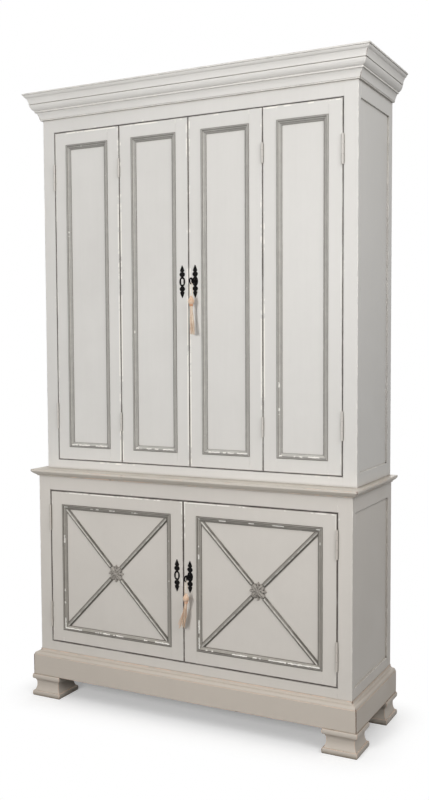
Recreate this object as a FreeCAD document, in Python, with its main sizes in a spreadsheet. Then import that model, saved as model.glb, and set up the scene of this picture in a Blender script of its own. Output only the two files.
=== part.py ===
import FreeCAD, Part
import os
from math import hypot, pi

from FreeCAD import Placement, Rotation, Vector

# Driving dimensions in millimetres. Names ending in share or shares are plain ratios.
DIMENSIONS = {
    # cases
    "lower_width": 1300,
    "lower_depth": 428,
    "lower_frame_height": 795,
    "lower_post": 53,
    "lower_top_rail": 55,
    "lower_bottom_rail": 138,
    "upper_inset": 4,
    "upper_depth": 374,
    "upper_frame_height": 1442,
    "upper_post": 52,
    "upper_top_rail": 130,
    "upper_bottom_rail": 35,
    "upper_side_top_rail": 134,
    "upper_side_bottom_rail": 48,
    "side_thickness": 22,
    "side_recess": 6,
    "side_panel": 10,
    "side_back_stile": 40,
    "board": 20,
    "back_board": 10,
    "door_stop": 6,
    "stop_clearance": 0.5,
    "shelf_setback": 30,
    "shelf_clearance": 0.5,
    "lower_shelf_height": 300,
    "upper_shelf_spacing": 420,
    "cleat_width": 18,
    "cleat_height": 24,
    "tongue": 8,
    "tongue_room": 1,
    "cut_overrun": 5,
    # feet
    "foot_size": 129,
    "foot_height": 86,
    "foot_overhang": 5,
    "foot_base_height": 19,
    "foot_lip_height": 18,
    "foot_round": 2,
    "foot_base_step": 6,
    "foot_lip_step": 5,
    "foot_throat": 13,
    "foot_throat_height": 50,
    "foot_low_hollow_share": 0.08,
    "foot_high_hollow_share": 0.12,
    # plinth profile, from the bottom up
    "plinth_face_height": 79,
    "plinth_quirk": 2,
    "plinth_ovolo_width": 10,
    "plinth_ovolo_height": 11,
    "plinth_step": 2,
    "plinth_cove_width": 7,
    "plinth_cove_height": 8,
    "plinth_lip": 2,
    "plinth_lip_height": 3,
    # waist profile, from the bottom up
    "waist_foot": 6,
    "waist_foot_height": 4,
    "waist_step": 2,
    "waist_ovolo_width": 15,
    "waist_ovolo_height": 13,
    "waist_nose": 1,
    "waist_nose_height": 8,
    "waist_bulge_share": 0.05,
    "waist_bearing": 20,
    # crown profile, from the bottom up
    "crown_foot": 8,
    "crown_foot_height": 4,
    "crown_foot_step": 1.5,
    "crown_low_cove_width": 10,
    "crown_low_cove_height": 26,
    "crown_bead": 4.5,
    "crown_bead_height": 6,
    "crown_ovolo_step": 1,
    "crown_ovolo_width": 13.5,
    "crown_ovolo_height": 22,
    "crown_quirk": 2,
    "crown_quirk_height": 2,
    "crown_step": 1,
    "crown_high_cove_width": 7,
    "crown_high_cove_height": 22.5,
    "crown_lip_width": 8.5,
    "crown_lip_height": 11.5,
    "crown_edge": 3,
    "crown_edge_height": 5,
    "crown_cove_bulge_share": 0.06,
    "crown_ovolo_bulge_share": 0.12,
    "moulding_bulge_share": 0.2,
    # doors
    "door_gap": 2.6,
    "door_thickness": 25,
    "door_panel": 10,
    "door_panel_setback": 8,
    "upper_door_stile": 51,
    "upper_door_rail": 49,
    "lower_door_stile": 52,
    "lower_door_top_rail": 51,
    "lower_door_bottom_rail": 47,
    # planted moulding of the doors
    "trim_width": 19,
    "trim_bead_width": 7,
    "trim_rise": 1.5,
    "trim_quirk": 2,
    "trim_flat_width": 4,
    "trim_lip": 2.5,
    "trim_bead_bulge_share": 0.22,
    # diagonal cross and rosette
    "cross_fillet": 3.25,
    "cross_fillet_height": 3,
    "cross_bead_width": 11,
    "cross_bead_bulge_share": 0.31,
    "rosette_diameter": 66,
    "rosette_base": 6,
    "rosette_petal": 8.5,
    "rosette_rim": 1.5,
    "rosette_boss": 6.5,
    # butt hinges
    "case_hinge_length": 100,
    "fold_hinge_length": 70,
    "upper_hinge_inset": 171,
    "fold_hinge_inset": 157,
    "lower_hinge_inset": 106,
    "knuckle_radius": 4,
    "barrel_clearance": 0.4,
    "knuckle_clearance": 0.3,
    "leaf_thickness": 1.1,
    "leaf_depth": 18,
    "pin_radius": 2,
    "pin_clearance": 0.05,
    "pin_head_radius": 3.2,
    "pin_head_height": 1.5,
    # escutcheons
    "escutcheon_height": 120,
    "escutcheon_width": 24,
    "escutcheon_thickness": 2,
    "keyhole_width": 10,
    "keyhole_height": 22,
    "escutcheon_bulge_share": 0.16,
    "upper_key_height": 680,
    "lower_key_height": 320,
    # locks
    "lock_margin": 3,
    "lock_height": 70,
    "lock_depth": 16,
    "lock_wall": 2,
    "bolt_height": 14,
    "bolt_thickness": 8,
    "bolt_length": 30,
    "bolt_rise": 9,
    "bolt_clearance": 0.3,
    # keys
    "key_reach": 44,
    "key_bow_diameter": 25,
    "key_wire": 3.6,
    "key_shank_radius": 3,
    "key_clearance": 0.6,
    "key_collar_radius": 4.6,
    "key_collar_length": 4,
    "key_collar_offset": 6,
    "key_tip_depth": 11,
    "key_bit_length": 9,
    "key_bit_width": 6,
    "key_bit_thickness": 2.4,
    # tassels and their loops
    "loop_cord": 2.4,
    "loop_clearance": 0.3,
    "loop_drop": 50,
    "tassel_crown_radius": 6,
    "tassel_head_radius": 11,
    "tassel_head_height": 24,
    "tassel_neck_radius": 7.5,
    "tassel_neck_height": 5,
    "tassel_skirt_length": 108,
    "tassel_skirt_radius": 8.5,
    "tassel_hem_radius": 12.5,
    "tassel_head_bulge_share": 0.2,
}

QUARTER_TURN = 90
DOME_ROOT = -20
HALF_TURN = 180
FULL_TURN = 360
CONFUSION = Part.Precision.confusion()

doc = FreeCAD.newDocument("cupboard")
sheet = doc.addObject("Spreadsheet::Sheet", "Sizes")
nodes = []


class Size:
    """A length that carries its sheet formula together with its present value."""

    def __init__(self, formula, value):
        self.formula = formula
        self.value = value

    def _join(self, sign, first, second, value):
        return Size(f"({first} {sign} {second})", value)

    def __add__(self, other):
        other = as_size(other)
        return self._join("+", self.formula, other.formula, self.value + other.value)

    def __sub__(self, other):
        other = as_size(other)
        return self._join("-", self.formula, other.formula, self.value - other.value)

    def __mul__(self, ratio):
        ratio = as_size(ratio)
        return self._join("*", self.formula, ratio.formula, self.value * ratio.value)

    def __truediv__(self, ratio):
        return Size(f"({self.formula} / {ratio})", self.value / ratio)

    def __neg__(self):
        return Size(f"(0 - {self.formula})", -self.value)

    def __float__(self):
        return float(self.value)


def as_size(number):
    """A Size from a Size or from a plain ratio or zero."""
    return number if isinstance(number, Size) else Size(repr(number), number)


class Sizes:
    """The sheet's cells, read by name."""

    def __init__(self, dimensions):
        for row, (name, value) in enumerate(dimensions.items(), start=1):
            cell = f"B{row}"
            sheet.set(f"A{row}", name)
            sheet.set(cell, str(value))
            sheet.setAlias(cell, name)
            setattr(self, name, Size(f"Sizes.{name}", value))


size = Sizes(DIMENSIONS)
doc.recompute()


# Derived places, shared by the pieces that meet there.
back = (size.lower_depth + size.key_reach) / 2
lower_face = back - size.lower_depth
upper_face = back - size.upper_depth
frame_thickness = size.door_thickness + size.stop_clearance
lower_bottom = size.foot_height
lower_top = lower_bottom + size.lower_frame_height
waist_height = size.waist_foot_height + size.waist_ovolo_height + size.waist_nose_height
upper_bottom = lower_top + waist_height
upper_top = upper_bottom + size.upper_frame_height
roof = upper_top + size.board
crown_height = (
    size.crown_foot_height + size.crown_low_cove_height + size.crown_bead_height
    + size.crown_ovolo_height + size.crown_quirk_height + size.crown_high_cove_height
    + size.crown_lip_height + size.crown_edge_height
)
plinth_thickness = (
    size.plinth_quirk + size.plinth_ovolo_width + size.plinth_step
    + size.plinth_cove_width + size.plinth_lip
)
upper_width = size.lower_width - size.upper_inset * 2
lower_half = size.lower_width / 2 - size.lower_post
upper_half = upper_width / 2 - size.upper_post
lower_opening = (lower_bottom + size.lower_bottom_rail, lower_top - size.lower_top_rail)
upper_opening = (upper_bottom + size.upper_bottom_rail, upper_top - size.upper_top_rail)
half_gap = size.door_gap / 2
upper_doors = 4
upper_door_width = (upper_half * 2 - size.door_gap * (upper_doors + 1)) / upper_doors
lower_door_z = (lower_opening[0] + size.door_gap, lower_opening[1] - size.door_gap)
upper_door_z = (upper_opening[0] + size.door_gap, upper_opening[1] - size.door_gap)
barrel_offset = size.knuckle_radius + size.barrel_clearance
bow_radius = (size.key_bow_diameter - size.key_wire) / 2


def vector(x, y, z):
    """A FreeCAD vector from sizes or plain zeros."""
    return Vector(float(x), float(y), float(z))


def seat(thing, x, y, z):
    """Ties an object's place to the sheet."""
    for axis, place in zip("xyz", (x, y, z)):
        thing.setExpression(f"Placement.Base.{axis}", as_size(place).formula)
    return thing


def board(name, x, y, z):
    """A rectangular piece between two places on each axis."""
    box = doc.addObject("Part::Box", name)
    for side, (low, high) in zip(("Length", "Width", "Height"), (x, y, z)):
        box.setExpression(side, (high - low).formula)
    return seat(box, x[0], y[0], z[0])


def rod(name, radius, length, x, y, z, turn=None):
    """A cylinder along +Z, or along the axis that the given turn brings it to."""
    cylinder = doc.addObject("Part::Cylinder", name)
    cylinder.setExpression("Radius", as_size(radius).formula)
    cylinder.setExpression("Height", as_size(length).formula)
    if turn:
        cylinder.Placement = Placement(Vector(), turn)
    return seat(cylinder, x, y, z)


ALONG_Y = Rotation(Vector(1, 0, 0), -QUARTER_TURN)


def fuse(name, *pieces):
    """Several shapes glued into one piece."""
    joined = doc.addObject("Part::MultiFuse", name)
    joined.Shapes = list(pieces)
    return joined


def cut(name, base, *tools):
    """A shape with the tools taken away one after another."""
    for number, tool in enumerate(tools):
        cutting = doc.addObject("Part::Cut", f"{name}_cut{number}")
        cutting.Base = base
        cutting.Tool = tool
        base = cutting
    return base


def made(name, shape, place=None):
    """A piece whose shape comes from code; its place follows its shape."""
    feature = doc.addObject("Part::Feature", name)
    feature.Shape = shape
    feature.Placement = place or Placement()
    return feature


def node(label, *pieces):
    """A named sub-part of one solid, or of several solids that belong together."""
    if len(pieces) == 1:
        part = pieces[0]
    else:
        part = doc.addObject("Part::Compound", f"{label}_group")
        part.Links = list(pieces)
    part.Label = label
    nodes.append(part)


def mirrored(sign, low, high):
    """A pair of places on the right, or their mirror image on the left."""
    return (low, high) if sign > 0 else (-high, -low)


def outline(start, *steps):
    """A face in the YZ plane from points (y, z), or (y, z, bulge) for an arc to that point."""
    edges = []
    here = vector(0, *start)
    closed = vector(0, *steps[-1][:2]).isEqual(here, CONFUSION)
    for step in steps if closed else (*steps, start):
        there = vector(0, step[0], step[1])
        if len(step) == 2:
            edges.append(Part.LineSegment(here, there).toShape())
        else:
            chord = there - here
            side = Vector(0, -chord.z, chord.y) * float(step[2])
            edges.append(Part.Arc(here, (here + there) * 0.5 + side, there).toShape())
        here = there
    return Part.Face(Part.Wire(edges))


def mitre_tool(bounds, slope, reach):
    """A prism that takes away all that lies beyond a mitre through the start of a run."""
    over = float(size.cut_overrun)
    low, high = bounds.YMin - over, bounds.YMax + over
    corners = [(-slope * low, low), (-slope * high, high), (-reach, high), (-reach, low)]
    floor = bounds.ZMin - over
    points = [Vector(x, y, floor) for x, y in corners]
    prism = Part.Face(Part.makePolygon([*points, points[0]]))
    return prism.extrude(Vector(0, 0, bounds.ZLength + 2 * over))


def mitred_run(face, length, slope, start=True, end=True):
    """A moulding along +X whose ends are mitred outwards (slope 1), inwards (-1) or left square."""
    bounds = face.BoundBox
    spread = max(abs(bounds.YMin), abs(bounds.YMax))
    first = -spread if start else 0
    last = length + spread if end else length
    run = face.copy()
    run.translate(Vector(first, 0, 0))
    run = run.extrude(Vector(last - first, 0, 0))
    tool = mitre_tool(bounds, slope, spread * 2 + length)
    if start:
        run = run.cut(tool)
    if end:
        run = run.cut(tool.mirror(Vector(length / 2, 0, 0), Vector(1, 0, 0)))
    return run


def wrapped_moulding(label, face, width, face_y, bottom):
    """A front length and two side lengths of one moulding round a case, mitred at the corners."""
    depth = back - face_y
    front = mitred_run(face, float(width), 1)
    left = mitred_run(face, float(depth), 1, end=False)
    right = mitred_run(face, float(depth), 1, start=False)
    corner = width / 2
    runs = (
        ("front", front, corner, face_y, HALF_TURN),
        ("left", left, -corner, face_y, QUARTER_TURN),
        ("right", right, corner, back, -QUARTER_TURN),
    )
    pieces = []
    for name, shape, x, y, angle in runs:
        turned = Placement(Vector(), Rotation(Vector(0, 0, 1), angle))
        pieces.append(seat(made(f"{label}_{name}", shape, turned), x, y, bottom))
    node(label, *pieces)


def make_feet():
    """Four square feet: a rounded base and lip, with a scotia between them on all four sides."""
    half = size.foot_size / 2
    top = size.foot_height
    low = size.foot_base_height
    high = top - size.foot_lip_height
    edge = half - size.foot_round
    ankle = half - size.foot_base_step
    neck = half - size.foot_lip_step
    throat = half - size.foot_throat
    narrow = size.foot_throat_height
    low_hollow = size.foot_low_hollow_share
    high_hollow = size.foot_high_hollow_share
    base_bulge = size.foot_round / float(size.foot_base_height)
    lip_bulge = size.foot_round / float(size.foot_lip_height)
    face = outline(
        (edge, 0), (edge, low, -base_bulge), (ankle, low), (throat, narrow, low_hollow),
        (neck, high, high_hollow), (edge, high), (edge, top, -lip_bulge), (-edge, top),
        (-edge, high, -lip_bulge), (-neck, high), (-throat, narrow, high_hollow),
        (-ankle, low, low_hollow), (-edge, low), (-edge, 0, -base_bulge),
    )
    along = face.copy()
    along.translate(vector(-half, 0, 0))
    along = along.extrude(vector(size.foot_size, 0, 0))
    across = along.copy()
    across.rotate(Vector(), Vector(0, 0, 1), QUARTER_TURN)
    shape = along.common(across)
    x = size.lower_width / 2 + plinth_thickness + size.foot_overhang - half
    rows = {"front": lower_face - plinth_thickness - size.foot_overhang + half, "back": back - half}
    feet = []
    for row, y in rows.items():
        for name, place in (("left", -x), ("right", x)):
            feet.append(seat(made(f"foot_{row}_{name}", shape), place, y, 0))
    node("feet", *feet)


def make_plinth():
    """Mitred plinth boards with a moulded top edge."""
    face_height = size.plinth_face_height
    ovolo = plinth_thickness - size.plinth_quirk
    step = ovolo - size.plinth_ovolo_width
    ovolo_top = face_height + size.plinth_ovolo_height
    cove = step - size.plinth_step
    cove_top = ovolo_top + size.plinth_cove_height
    bulge = size.moulding_bulge_share
    face = outline(
        (0, 0), (plinth_thickness, 0), (plinth_thickness, face_height), (ovolo, face_height),
        (step, ovolo_top, -bulge), (cove, ovolo_top), (size.plinth_lip, cove_top, bulge),
        (size.plinth_lip, cove_top + size.plinth_lip_height), (0, cove_top + size.plinth_lip_height),
    )
    wrapped_moulding("plinth", face, size.lower_width, lower_face, lower_bottom)


def make_waist():
    """Mitred frame between the cases: foot, a flat ovolo and a thin nose."""
    ovolo_foot = size.waist_foot_height
    ovolo_top = ovolo_foot + size.waist_ovolo_height
    step = size.waist_foot + size.waist_step
    ovolo = step + size.waist_ovolo_width
    nose = ovolo + size.waist_nose
    inner = -(size.lower_depth - size.upper_depth + size.waist_bearing)
    face = outline(
        (inner, 0), (size.waist_foot, 0), (size.waist_foot, ovolo_foot), (step, ovolo_foot),
        (ovolo, ovolo_top, -size.waist_bulge_share), (nose, ovolo_top), (nose, waist_height),
        (inner, waist_height),
    )
    wrapped_moulding("waist_moulding", face, size.lower_width, lower_face, lower_top)


def make_crown():
    """Mitred crown: foot, cove, bead, ovolo, quirk, cove, ovolo lip and a square edge."""
    foot = size.crown_foot
    cove = foot + size.crown_foot_step
    cove_start = size.crown_foot_height
    cove_end = cove + size.crown_low_cove_width
    bead = cove_end + size.crown_bead
    bead_start = cove_start + size.crown_low_cove_height
    ovolo = bead + size.crown_ovolo_step
    ovolo_start = bead_start + size.crown_bead_height
    ovolo_end = ovolo + size.crown_ovolo_width
    quirk = ovolo_end - size.crown_quirk
    quirk_start = ovolo_start + size.crown_ovolo_height
    high_cove = ovolo_end + size.crown_step
    high_start = quirk_start + size.crown_quirk_height
    lip = high_cove + size.crown_high_cove_width
    lip_start = high_start + size.crown_high_cove_height
    lip_end = lip + size.crown_lip_width
    edge = lip_end + size.crown_edge
    edge_start = lip_start + size.crown_lip_height
    hollow = size.crown_cove_bulge_share
    swell = size.crown_ovolo_bulge_share
    face = outline(
        (0, 0), (foot, 0), (foot, cove_start), (cove, cove_start), (cove_end, bead_start, hollow),
        (bead, bead_start), (bead, ovolo_start), (ovolo, ovolo_start), (ovolo_end, quirk_start, -swell),
        (quirk, quirk_start), (quirk, high_start), (high_cove, high_start), (lip, lip_start, hollow),
        (lip_end, edge_start, -swell), (edge, edge_start), (edge, crown_height), (0, crown_height),
    )
    wrapped_moulding("crown_moulding", face, upper_width, upper_face, roof - crown_height)


def make_face_frame(case, width, post, face_y, z, opening):
    """Corner posts, grooved for the side panels, and two rails between them."""
    y = (face_y, face_y + frame_thickness)
    outside = width / 2 - size.side_recess
    groove_y = (y[1] - size.tongue - size.tongue_room, y[1] + size.cut_overrun)
    groove_z = (z[0] - size.cut_overrun, z[1] + size.cut_overrun)
    pieces = []
    for name, sign in (("left", -1), ("right", 1)):
        x = mirrored(sign, width / 2 - post, width / 2)
        groove_x = mirrored(sign, outside - size.side_panel, outside)
        stick = board(f"{case}_{name}_post", x, y, z)
        groove = board(f"{case}_{name}_post_groove", groove_x, groove_y, groove_z)
        pieces.append(cut(f"{case}_{name}_post", stick, groove))
    between = (post - width / 2, width / 2 - post)
    pieces.append(board(f"{case}_bottom_rail", between, y, (z[0], opening[0])))
    pieces.append(board(f"{case}_top_rail", between, y, (opening[1], z[1])))
    node(f"{case}_face_frame", *pieces)


def make_side(case, sign, width, face_y, z, panel_z):
    """Back stile, two rails with stub tenons and a recessed panel, let into the corner post."""
    name = f"{case}_{'right' if sign > 0 else 'left'}_side"
    outside = width / 2 - size.side_recess
    x = mirrored(sign, width / 2 - size.side_thickness, width / 2)
    groove_x = mirrored(sign, outside - size.side_panel, outside)
    front = face_y + frame_thickness
    stile = back - size.side_back_stile
    tongue_y = (front - size.tongue, stile + size.tongue)
    groove_y = (stile - size.cut_overrun, stile + size.tongue + size.tongue_room)
    groove_z = (z[0] - size.cut_overrun, z[1] + size.cut_overrun)
    groove = board(f"{name}_stile_groove", groove_x, groove_y, groove_z)
    pieces = [cut(f"{name}_stile", board(f"{name}_stile", x, (stile, back), z), groove)]
    rails = {
        "bottom_rail": ((z[0], panel_z[0]), (panel_z[0] - size.tongue, panel_z[0] + size.cut_overrun)),
        "top_rail": ((panel_z[1], z[1]), (panel_z[1] - size.cut_overrun, panel_z[1] + size.tongue)),
    }
    for rail, (rail_z, slot_z) in rails.items():
        body = board(f"{name}_{rail}_body", x, (front, stile), rail_z)
        tenon = board(f"{name}_{rail}_tenon", groove_x, tongue_y, rail_z)
        slot = board(f"{name}_{rail}_slot", groove_x, tongue_y, slot_z)
        pieces.append(cut(f"{name}_{rail}", fuse(f"{name}_{rail}", body, tenon), slot))
    panel = (panel_z[0] - size.tongue, panel_z[1] + size.tongue)
    pieces.append(board(f"{name}_panel", groove_x, tongue_y, panel))
    node(name, *pieces)


def inside_span(width):
    """The clear width between the two sides of a case."""
    half = width / 2 - size.side_thickness
    return (-half, half)


def make_lower_boards():
    """Floor, shelf, top and back of the lower case. The floor's front edge stops the doors."""
    x = inside_span(size.lower_width)
    front = lower_face + frame_thickness
    floor_top = lower_opening[0] + size.door_stop
    inner_back = back - size.back_board
    node("lower_floor", board("lower_floor", x, (front, inner_back), (floor_top - size.board, floor_top)))
    node("lower_top", board("lower_top", x, (front, back), (lower_top - size.board, lower_top)))
    node("lower_back", board("lower_back", x, (inner_back, back), (lower_bottom, lower_top - size.board)))
    shelf = floor_top + size.lower_shelf_height
    node("lower_shelf", make_shelf("lower_shelf", x, front, inner_back, shelf))
    return make_cleats("lower", size.lower_width, front, shelf)


def make_upper_boards():
    """Floor, two shelves, back and roof of the upper case."""
    x = inside_span(upper_width)
    front = upper_face + frame_thickness
    floor_top = upper_opening[0] + size.door_stop
    inner_back = back - size.back_board
    node("upper_floor", board("upper_floor", x, (front, inner_back), (floor_top - size.board, floor_top)))
    node("upper_back", board("upper_back", x, (inner_back, back), (upper_bottom, upper_top)))
    across = (-upper_width / 2, upper_width / 2)
    node("upper_roof", board("upper_roof", across, (upper_face, back), (upper_top, roof)))
    shelves, cleats = [], []
    for name, count in (("upper_shelf_a", 1), ("upper_shelf_b", 2)):
        shelf = floor_top + size.upper_shelf_spacing * count
        shelves.append(make_shelf(name, x, front, inner_back, shelf))
        cleats += make_cleats(name, upper_width, front, shelf)
    node("upper_shelves", *shelves)
    return cleats


def make_shelf(name, x, front, inner_back, bottom):
    """A loose shelf, set back from the doors."""
    across = (x[0] + size.shelf_clearance, x[1] - size.shelf_clearance)
    depth = (front + size.shelf_setback, inner_back - size.shelf_clearance)
    return board(name, across, depth, (bottom, bottom + size.board))


def make_cleats(name, width, front, shelf):
    """A bearer on each side panel, between the corner post and the back stile."""
    wall = width / 2 - size.side_recess - size.side_panel
    y = (front, back - size.side_back_stile)
    z = (shelf - size.cleat_height, shelf)
    left = board(f"{name}_left_cleat", (-wall, size.cleat_width - wall), y, z)
    right = board(f"{name}_right_cleat", (wall - size.cleat_width, wall), y, z)
    return [left, right]


def make_leaf(name, axis_x, face_y, z, side, knuckles):
    """One hinge leaf: a plate in the door gap and the knuckles that it carries."""
    barrel_y = face_y - barrel_offset
    near, far = mirrored(side, half_gap - size.leaf_thickness, half_gap)
    x = (axis_x + near, axis_x + far)
    pieces = [board(f"{name}_plate", x, (face_y, face_y + size.leaf_depth), z)]
    for number, (low, high) in enumerate(knuckles):
        pieces.append(board(f"{name}_tongue{number}", x, (barrel_y, face_y), (low, high)))
        pieces.append(
            rod(f"{name}_knuckle{number}", size.knuckle_radius, high - low, axis_x, barrel_y, low)
        )
    bore = rod(f"{name}_bore", size.pin_radius + size.pin_clearance, z[1] - z[0], axis_x, barrel_y, z[0])
    return cut(name, fuse(f"{name}_whole", *pieces), bore)


def make_hinge(name, axis_x, face_y, centre, length, fixed_side):
    """A butt hinge: fixed leaf with two knuckles, moving leaf with one between them, and the pin."""
    z = (centre - length / 2, centre + length / 2)
    third = length / 3
    inner = (z[0] + third, z[1] - third)
    outer = [(z[0], inner[0]), (inner[1], z[1])]
    middle = [(inner[0] + size.knuckle_clearance, inner[1] - size.knuckle_clearance)]
    fixed = make_leaf(f"{name}_fixed", axis_x, face_y, z, fixed_side, outer)
    moving = make_leaf(f"{name}_moving", axis_x, face_y, z, -fixed_side, middle)
    barrel_y = face_y - barrel_offset
    stem = rod(f"{name}_stem", size.pin_radius, length, axis_x, barrel_y, z[0])
    head = rod(f"{name}_head", size.pin_head_radius, size.pin_head_height, axis_x, barrel_y, z[1])
    return fixed, moving, fuse(f"{name}_pin", stem, head)


def hinge_pair(name, axis_x, face_y, door_z, inset, length, fixed_side):
    """An upper and a lower hinge on one axis. Returns their fixed leaves, moving leaves and pins."""
    heights = {"low": door_z[0] + inset, "high": door_z[1] - inset}
    hinges = [
        make_hinge(f"{name}_{level}", axis_x, face_y, centre, length, fixed_side)
        for level, centre in heights.items()
    ]
    return [list(kind) for kind in zip(*hinges)]


def make_door_frame(door, x, z, face_y, stile, rails, bore=None):
    """Two grooved stiles, bottom and top rails with stub tenons, and the panel between them."""
    y = (face_y, face_y + size.door_thickness)
    groove_y = (face_y + size.door_panel_setback, face_y + size.door_panel_setback + size.door_panel)
    inner_x = (x[0] + stile, x[1] - stile)
    inner_z = (z[0] + rails[0], z[1] - rails[1])
    tongue_x = (inner_x[0] - size.tongue, inner_x[1] + size.tongue)
    deep = size.tongue + size.tongue_room
    long_z = (z[0] - size.cut_overrun, z[1] + size.cut_overrun)
    stiles = {
        "left_stile": ((x[0], inner_x[0]), (inner_x[0] - deep, inner_x[0] + size.cut_overrun)),
        "right_stile": ((inner_x[1], x[1]), (inner_x[1] - size.cut_overrun, inner_x[1] + deep)),
    }
    rails = {
        "bottom_rail": ((z[0], inner_z[0]), (inner_z[0] - size.tongue, inner_z[0] + size.cut_overrun)),
        "top_rail": ((inner_z[1], z[1]), (inner_z[1] - size.cut_overrun, inner_z[1] + size.tongue)),
    }
    pieces = []
    for name, (stile_x, groove_x) in stiles.items():
        tools = [board(f"{door}_{name}_groove", groove_x, groove_y, long_z)]
        if bore and name == "left_stile":
            tools.append(bore)
        pieces.append(cut(f"{door}_{name}", board(f"{door}_{name}", stile_x, y, z), *tools))
    for name, (rail_z, slot_z) in rails.items():
        body = board(f"{door}_{name}_body", inner_x, y, rail_z)
        tenon = board(f"{door}_{name}_tenon", tongue_x, groove_y, rail_z)
        slot = board(f"{door}_{name}_slot", tongue_x, groove_y, slot_z)
        pieces.append(cut(f"{door}_{name}", fuse(f"{door}_{name}", body, tenon), slot))
    node(f"{door}_frame", *pieces)
    panel_z = (inner_z[0] - size.tongue, inner_z[1] + size.tongue)
    node(f"{door}_panel", board(f"{door}_panel", tongue_x, groove_y, panel_z))
    return inner_x, inner_z


def trim_face():
    """Section of the planted moulding: bead at the frame, quirk, flat and a hollow down to the lip."""
    top = size.door_panel_setback + size.trim_rise
    flat = top - size.trim_quirk
    flat_end = size.trim_bead_width + size.trim_flat_width
    return outline(
        (0, 0), (size.trim_width, 0), (size.trim_width, size.trim_lip),
        (flat_end, flat, size.moulding_bulge_share), (size.trim_bead_width, flat),
        (size.trim_bead_width, top), (0, top, -size.trim_bead_bulge_share),
    )


def make_trim(door, inner_x, inner_z, face_y):
    """Four mitred strips that fill the corner between a door's frame and its panel."""
    panel_y = face_y + size.door_panel_setback
    upright = Rotation(Vector(1, 0, 0), QUARTER_TURN)
    wide = inner_x[1] - inner_x[0]
    tall = inner_z[1] - inner_z[0]
    strips = (
        ("bottom", wide, inner_x[0], inner_z[0]),
        ("right", tall, inner_x[1], inner_z[0]),
        ("top", wide, inner_x[1], inner_z[1]),
        ("left", tall, inner_x[0], inner_z[1]),
    )
    pieces = []
    for quarter, (name, length, x, z) in enumerate(strips):
        shape = mitred_run(trim_face(), float(length), -1)
        turn = upright.multiply(Rotation(Vector(0, 0, 1), QUARTER_TURN * quarter))
        pieces.append(seat(made(f"{door}_trim_{name}", shape, Placement(Vector(), turn)), x, panel_y, z))
    return pieces


def make_cross(door, inner_x, inner_z, face_y):
    """Two diagonal bars of the lower doors, let into the trim's corners and stopped at the rosette."""
    wide = float(inner_x[1] - inner_x[0]) - 2 * float(size.trim_width)
    tall = float(inner_z[1] - inner_z[0]) - 2 * float(size.trim_width)
    bead = size.cross_bead_width / 2
    edge = bead + size.cross_fillet
    low = size.cross_fillet_height
    bulge = size.cross_bead_bulge_share
    face = outline((-edge, 0), (edge, 0), (edge, low), (bead, low), (-bead, low, -bulge), (-edge, low))
    length = hypot(wide, tall)
    height = face.BoundBox.ZLength
    field = Part.makeBox(wide, tall, height, Vector(-wide / 2, -tall / 2, 0))
    hub = Part.makeCylinder(float(size.rosette_diameter / 2), height)
    upright = Placement(Vector(), Rotation(Vector(1, 0, 0), QUARTER_TURN))
    pieces = []
    for name, rise in (("rising", tall), ("falling", -tall)):
        bar = face.copy()
        bar.translate(Vector(-length / 2, 0, 0))
        bar = bar.extrude(Vector(length, 0, 0))
        bar.Placement = Placement(Vector(), Rotation(Vector(1, 0, 0), Vector(wide, rise, 0)))
        for end, arm in enumerate(bar.common(field).cut(hub).Solids):
            feature = made(f"{door}_{name}_arm{end}", arm, upright)
            pieces.append(seat_on_panel(feature, inner_x, inner_z, face_y))
    return pieces


def seat_on_panel(feature, inner_x, inner_z, face_y):
    """Ties a piece to the middle of a door's panel."""
    x = (inner_x[0] + inner_x[1]) / 2
    z = (inner_z[0] + inner_z[1]) / 2
    return seat(feature, x, face_y + size.door_panel_setback, z)


def make_rosette(door, inner_x, inner_z, face_y):
    """A disc with eight round petals and a centre boss."""
    petals = 8
    radius = float(size.rosette_diameter / 2)
    base = float(size.rosette_base)
    petal = float(size.rosette_petal)
    ring = radius - petal - float(size.rosette_rim)
    shape = Part.makeCylinder(radius, base)
    axis = Vector(0, 0, 1)
    dome = Part.makeSphere(petal, Vector(ring, 0, base), axis, DOME_ROOT, QUARTER_TURN)
    for count in range(petals):
        leaf = dome.copy()
        leaf.rotate(Vector(), axis, FULL_TURN * count / petals)
        shape = shape.fuse(leaf)
    boss = Part.makeSphere(float(size.rosette_boss), Vector(0, 0, base), axis, DOME_ROOT, QUARTER_TURN)
    shape = shape.fuse(boss)
    upright = Placement(Vector(), Rotation(Vector(1, 0, 0), QUARTER_TURN))
    rosette = made(f"{door}_rosette_body", shape, upright)
    node(f"{door}_rosette", seat_on_panel(rosette, inner_x, inner_z, face_y))


def escutcheon_face():
    """Spear points, two lobes and a wider middle, from shares of the plate's half sizes."""
    half_width_shares = (0.74, 0.42, 0.92, 0.52)
    half_height_shares = (0.68, 0.59, 0.44, 0.29)
    wide = float(size.escutcheon_width / 2)
    tall = float(size.escutcheon_height / 2)
    bulge = float(size.escutcheon_bulge_share)
    bulges = (-bulge / 2, bulge, bulge, bulge, bulge / 2)
    points = [(wide * x, tall * z) for x, z in zip(half_width_shares, half_height_shares)]
    points.append((wide, 0))
    steps = [(x, z, b) for (x, z), b in zip(points, bulges)]
    below = [(x, -z) for x, z in reversed(points[:-1])]
    below.append((0, -tall))
    steps += [(x, z, b) for (x, z), b in zip(below, reversed(bulges))]
    mirror = [(-x, -z, b) for x, z, b in steps]
    return outline((0, tall), *steps, *mirror[:-1], (0, tall, bulges[0]))


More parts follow.
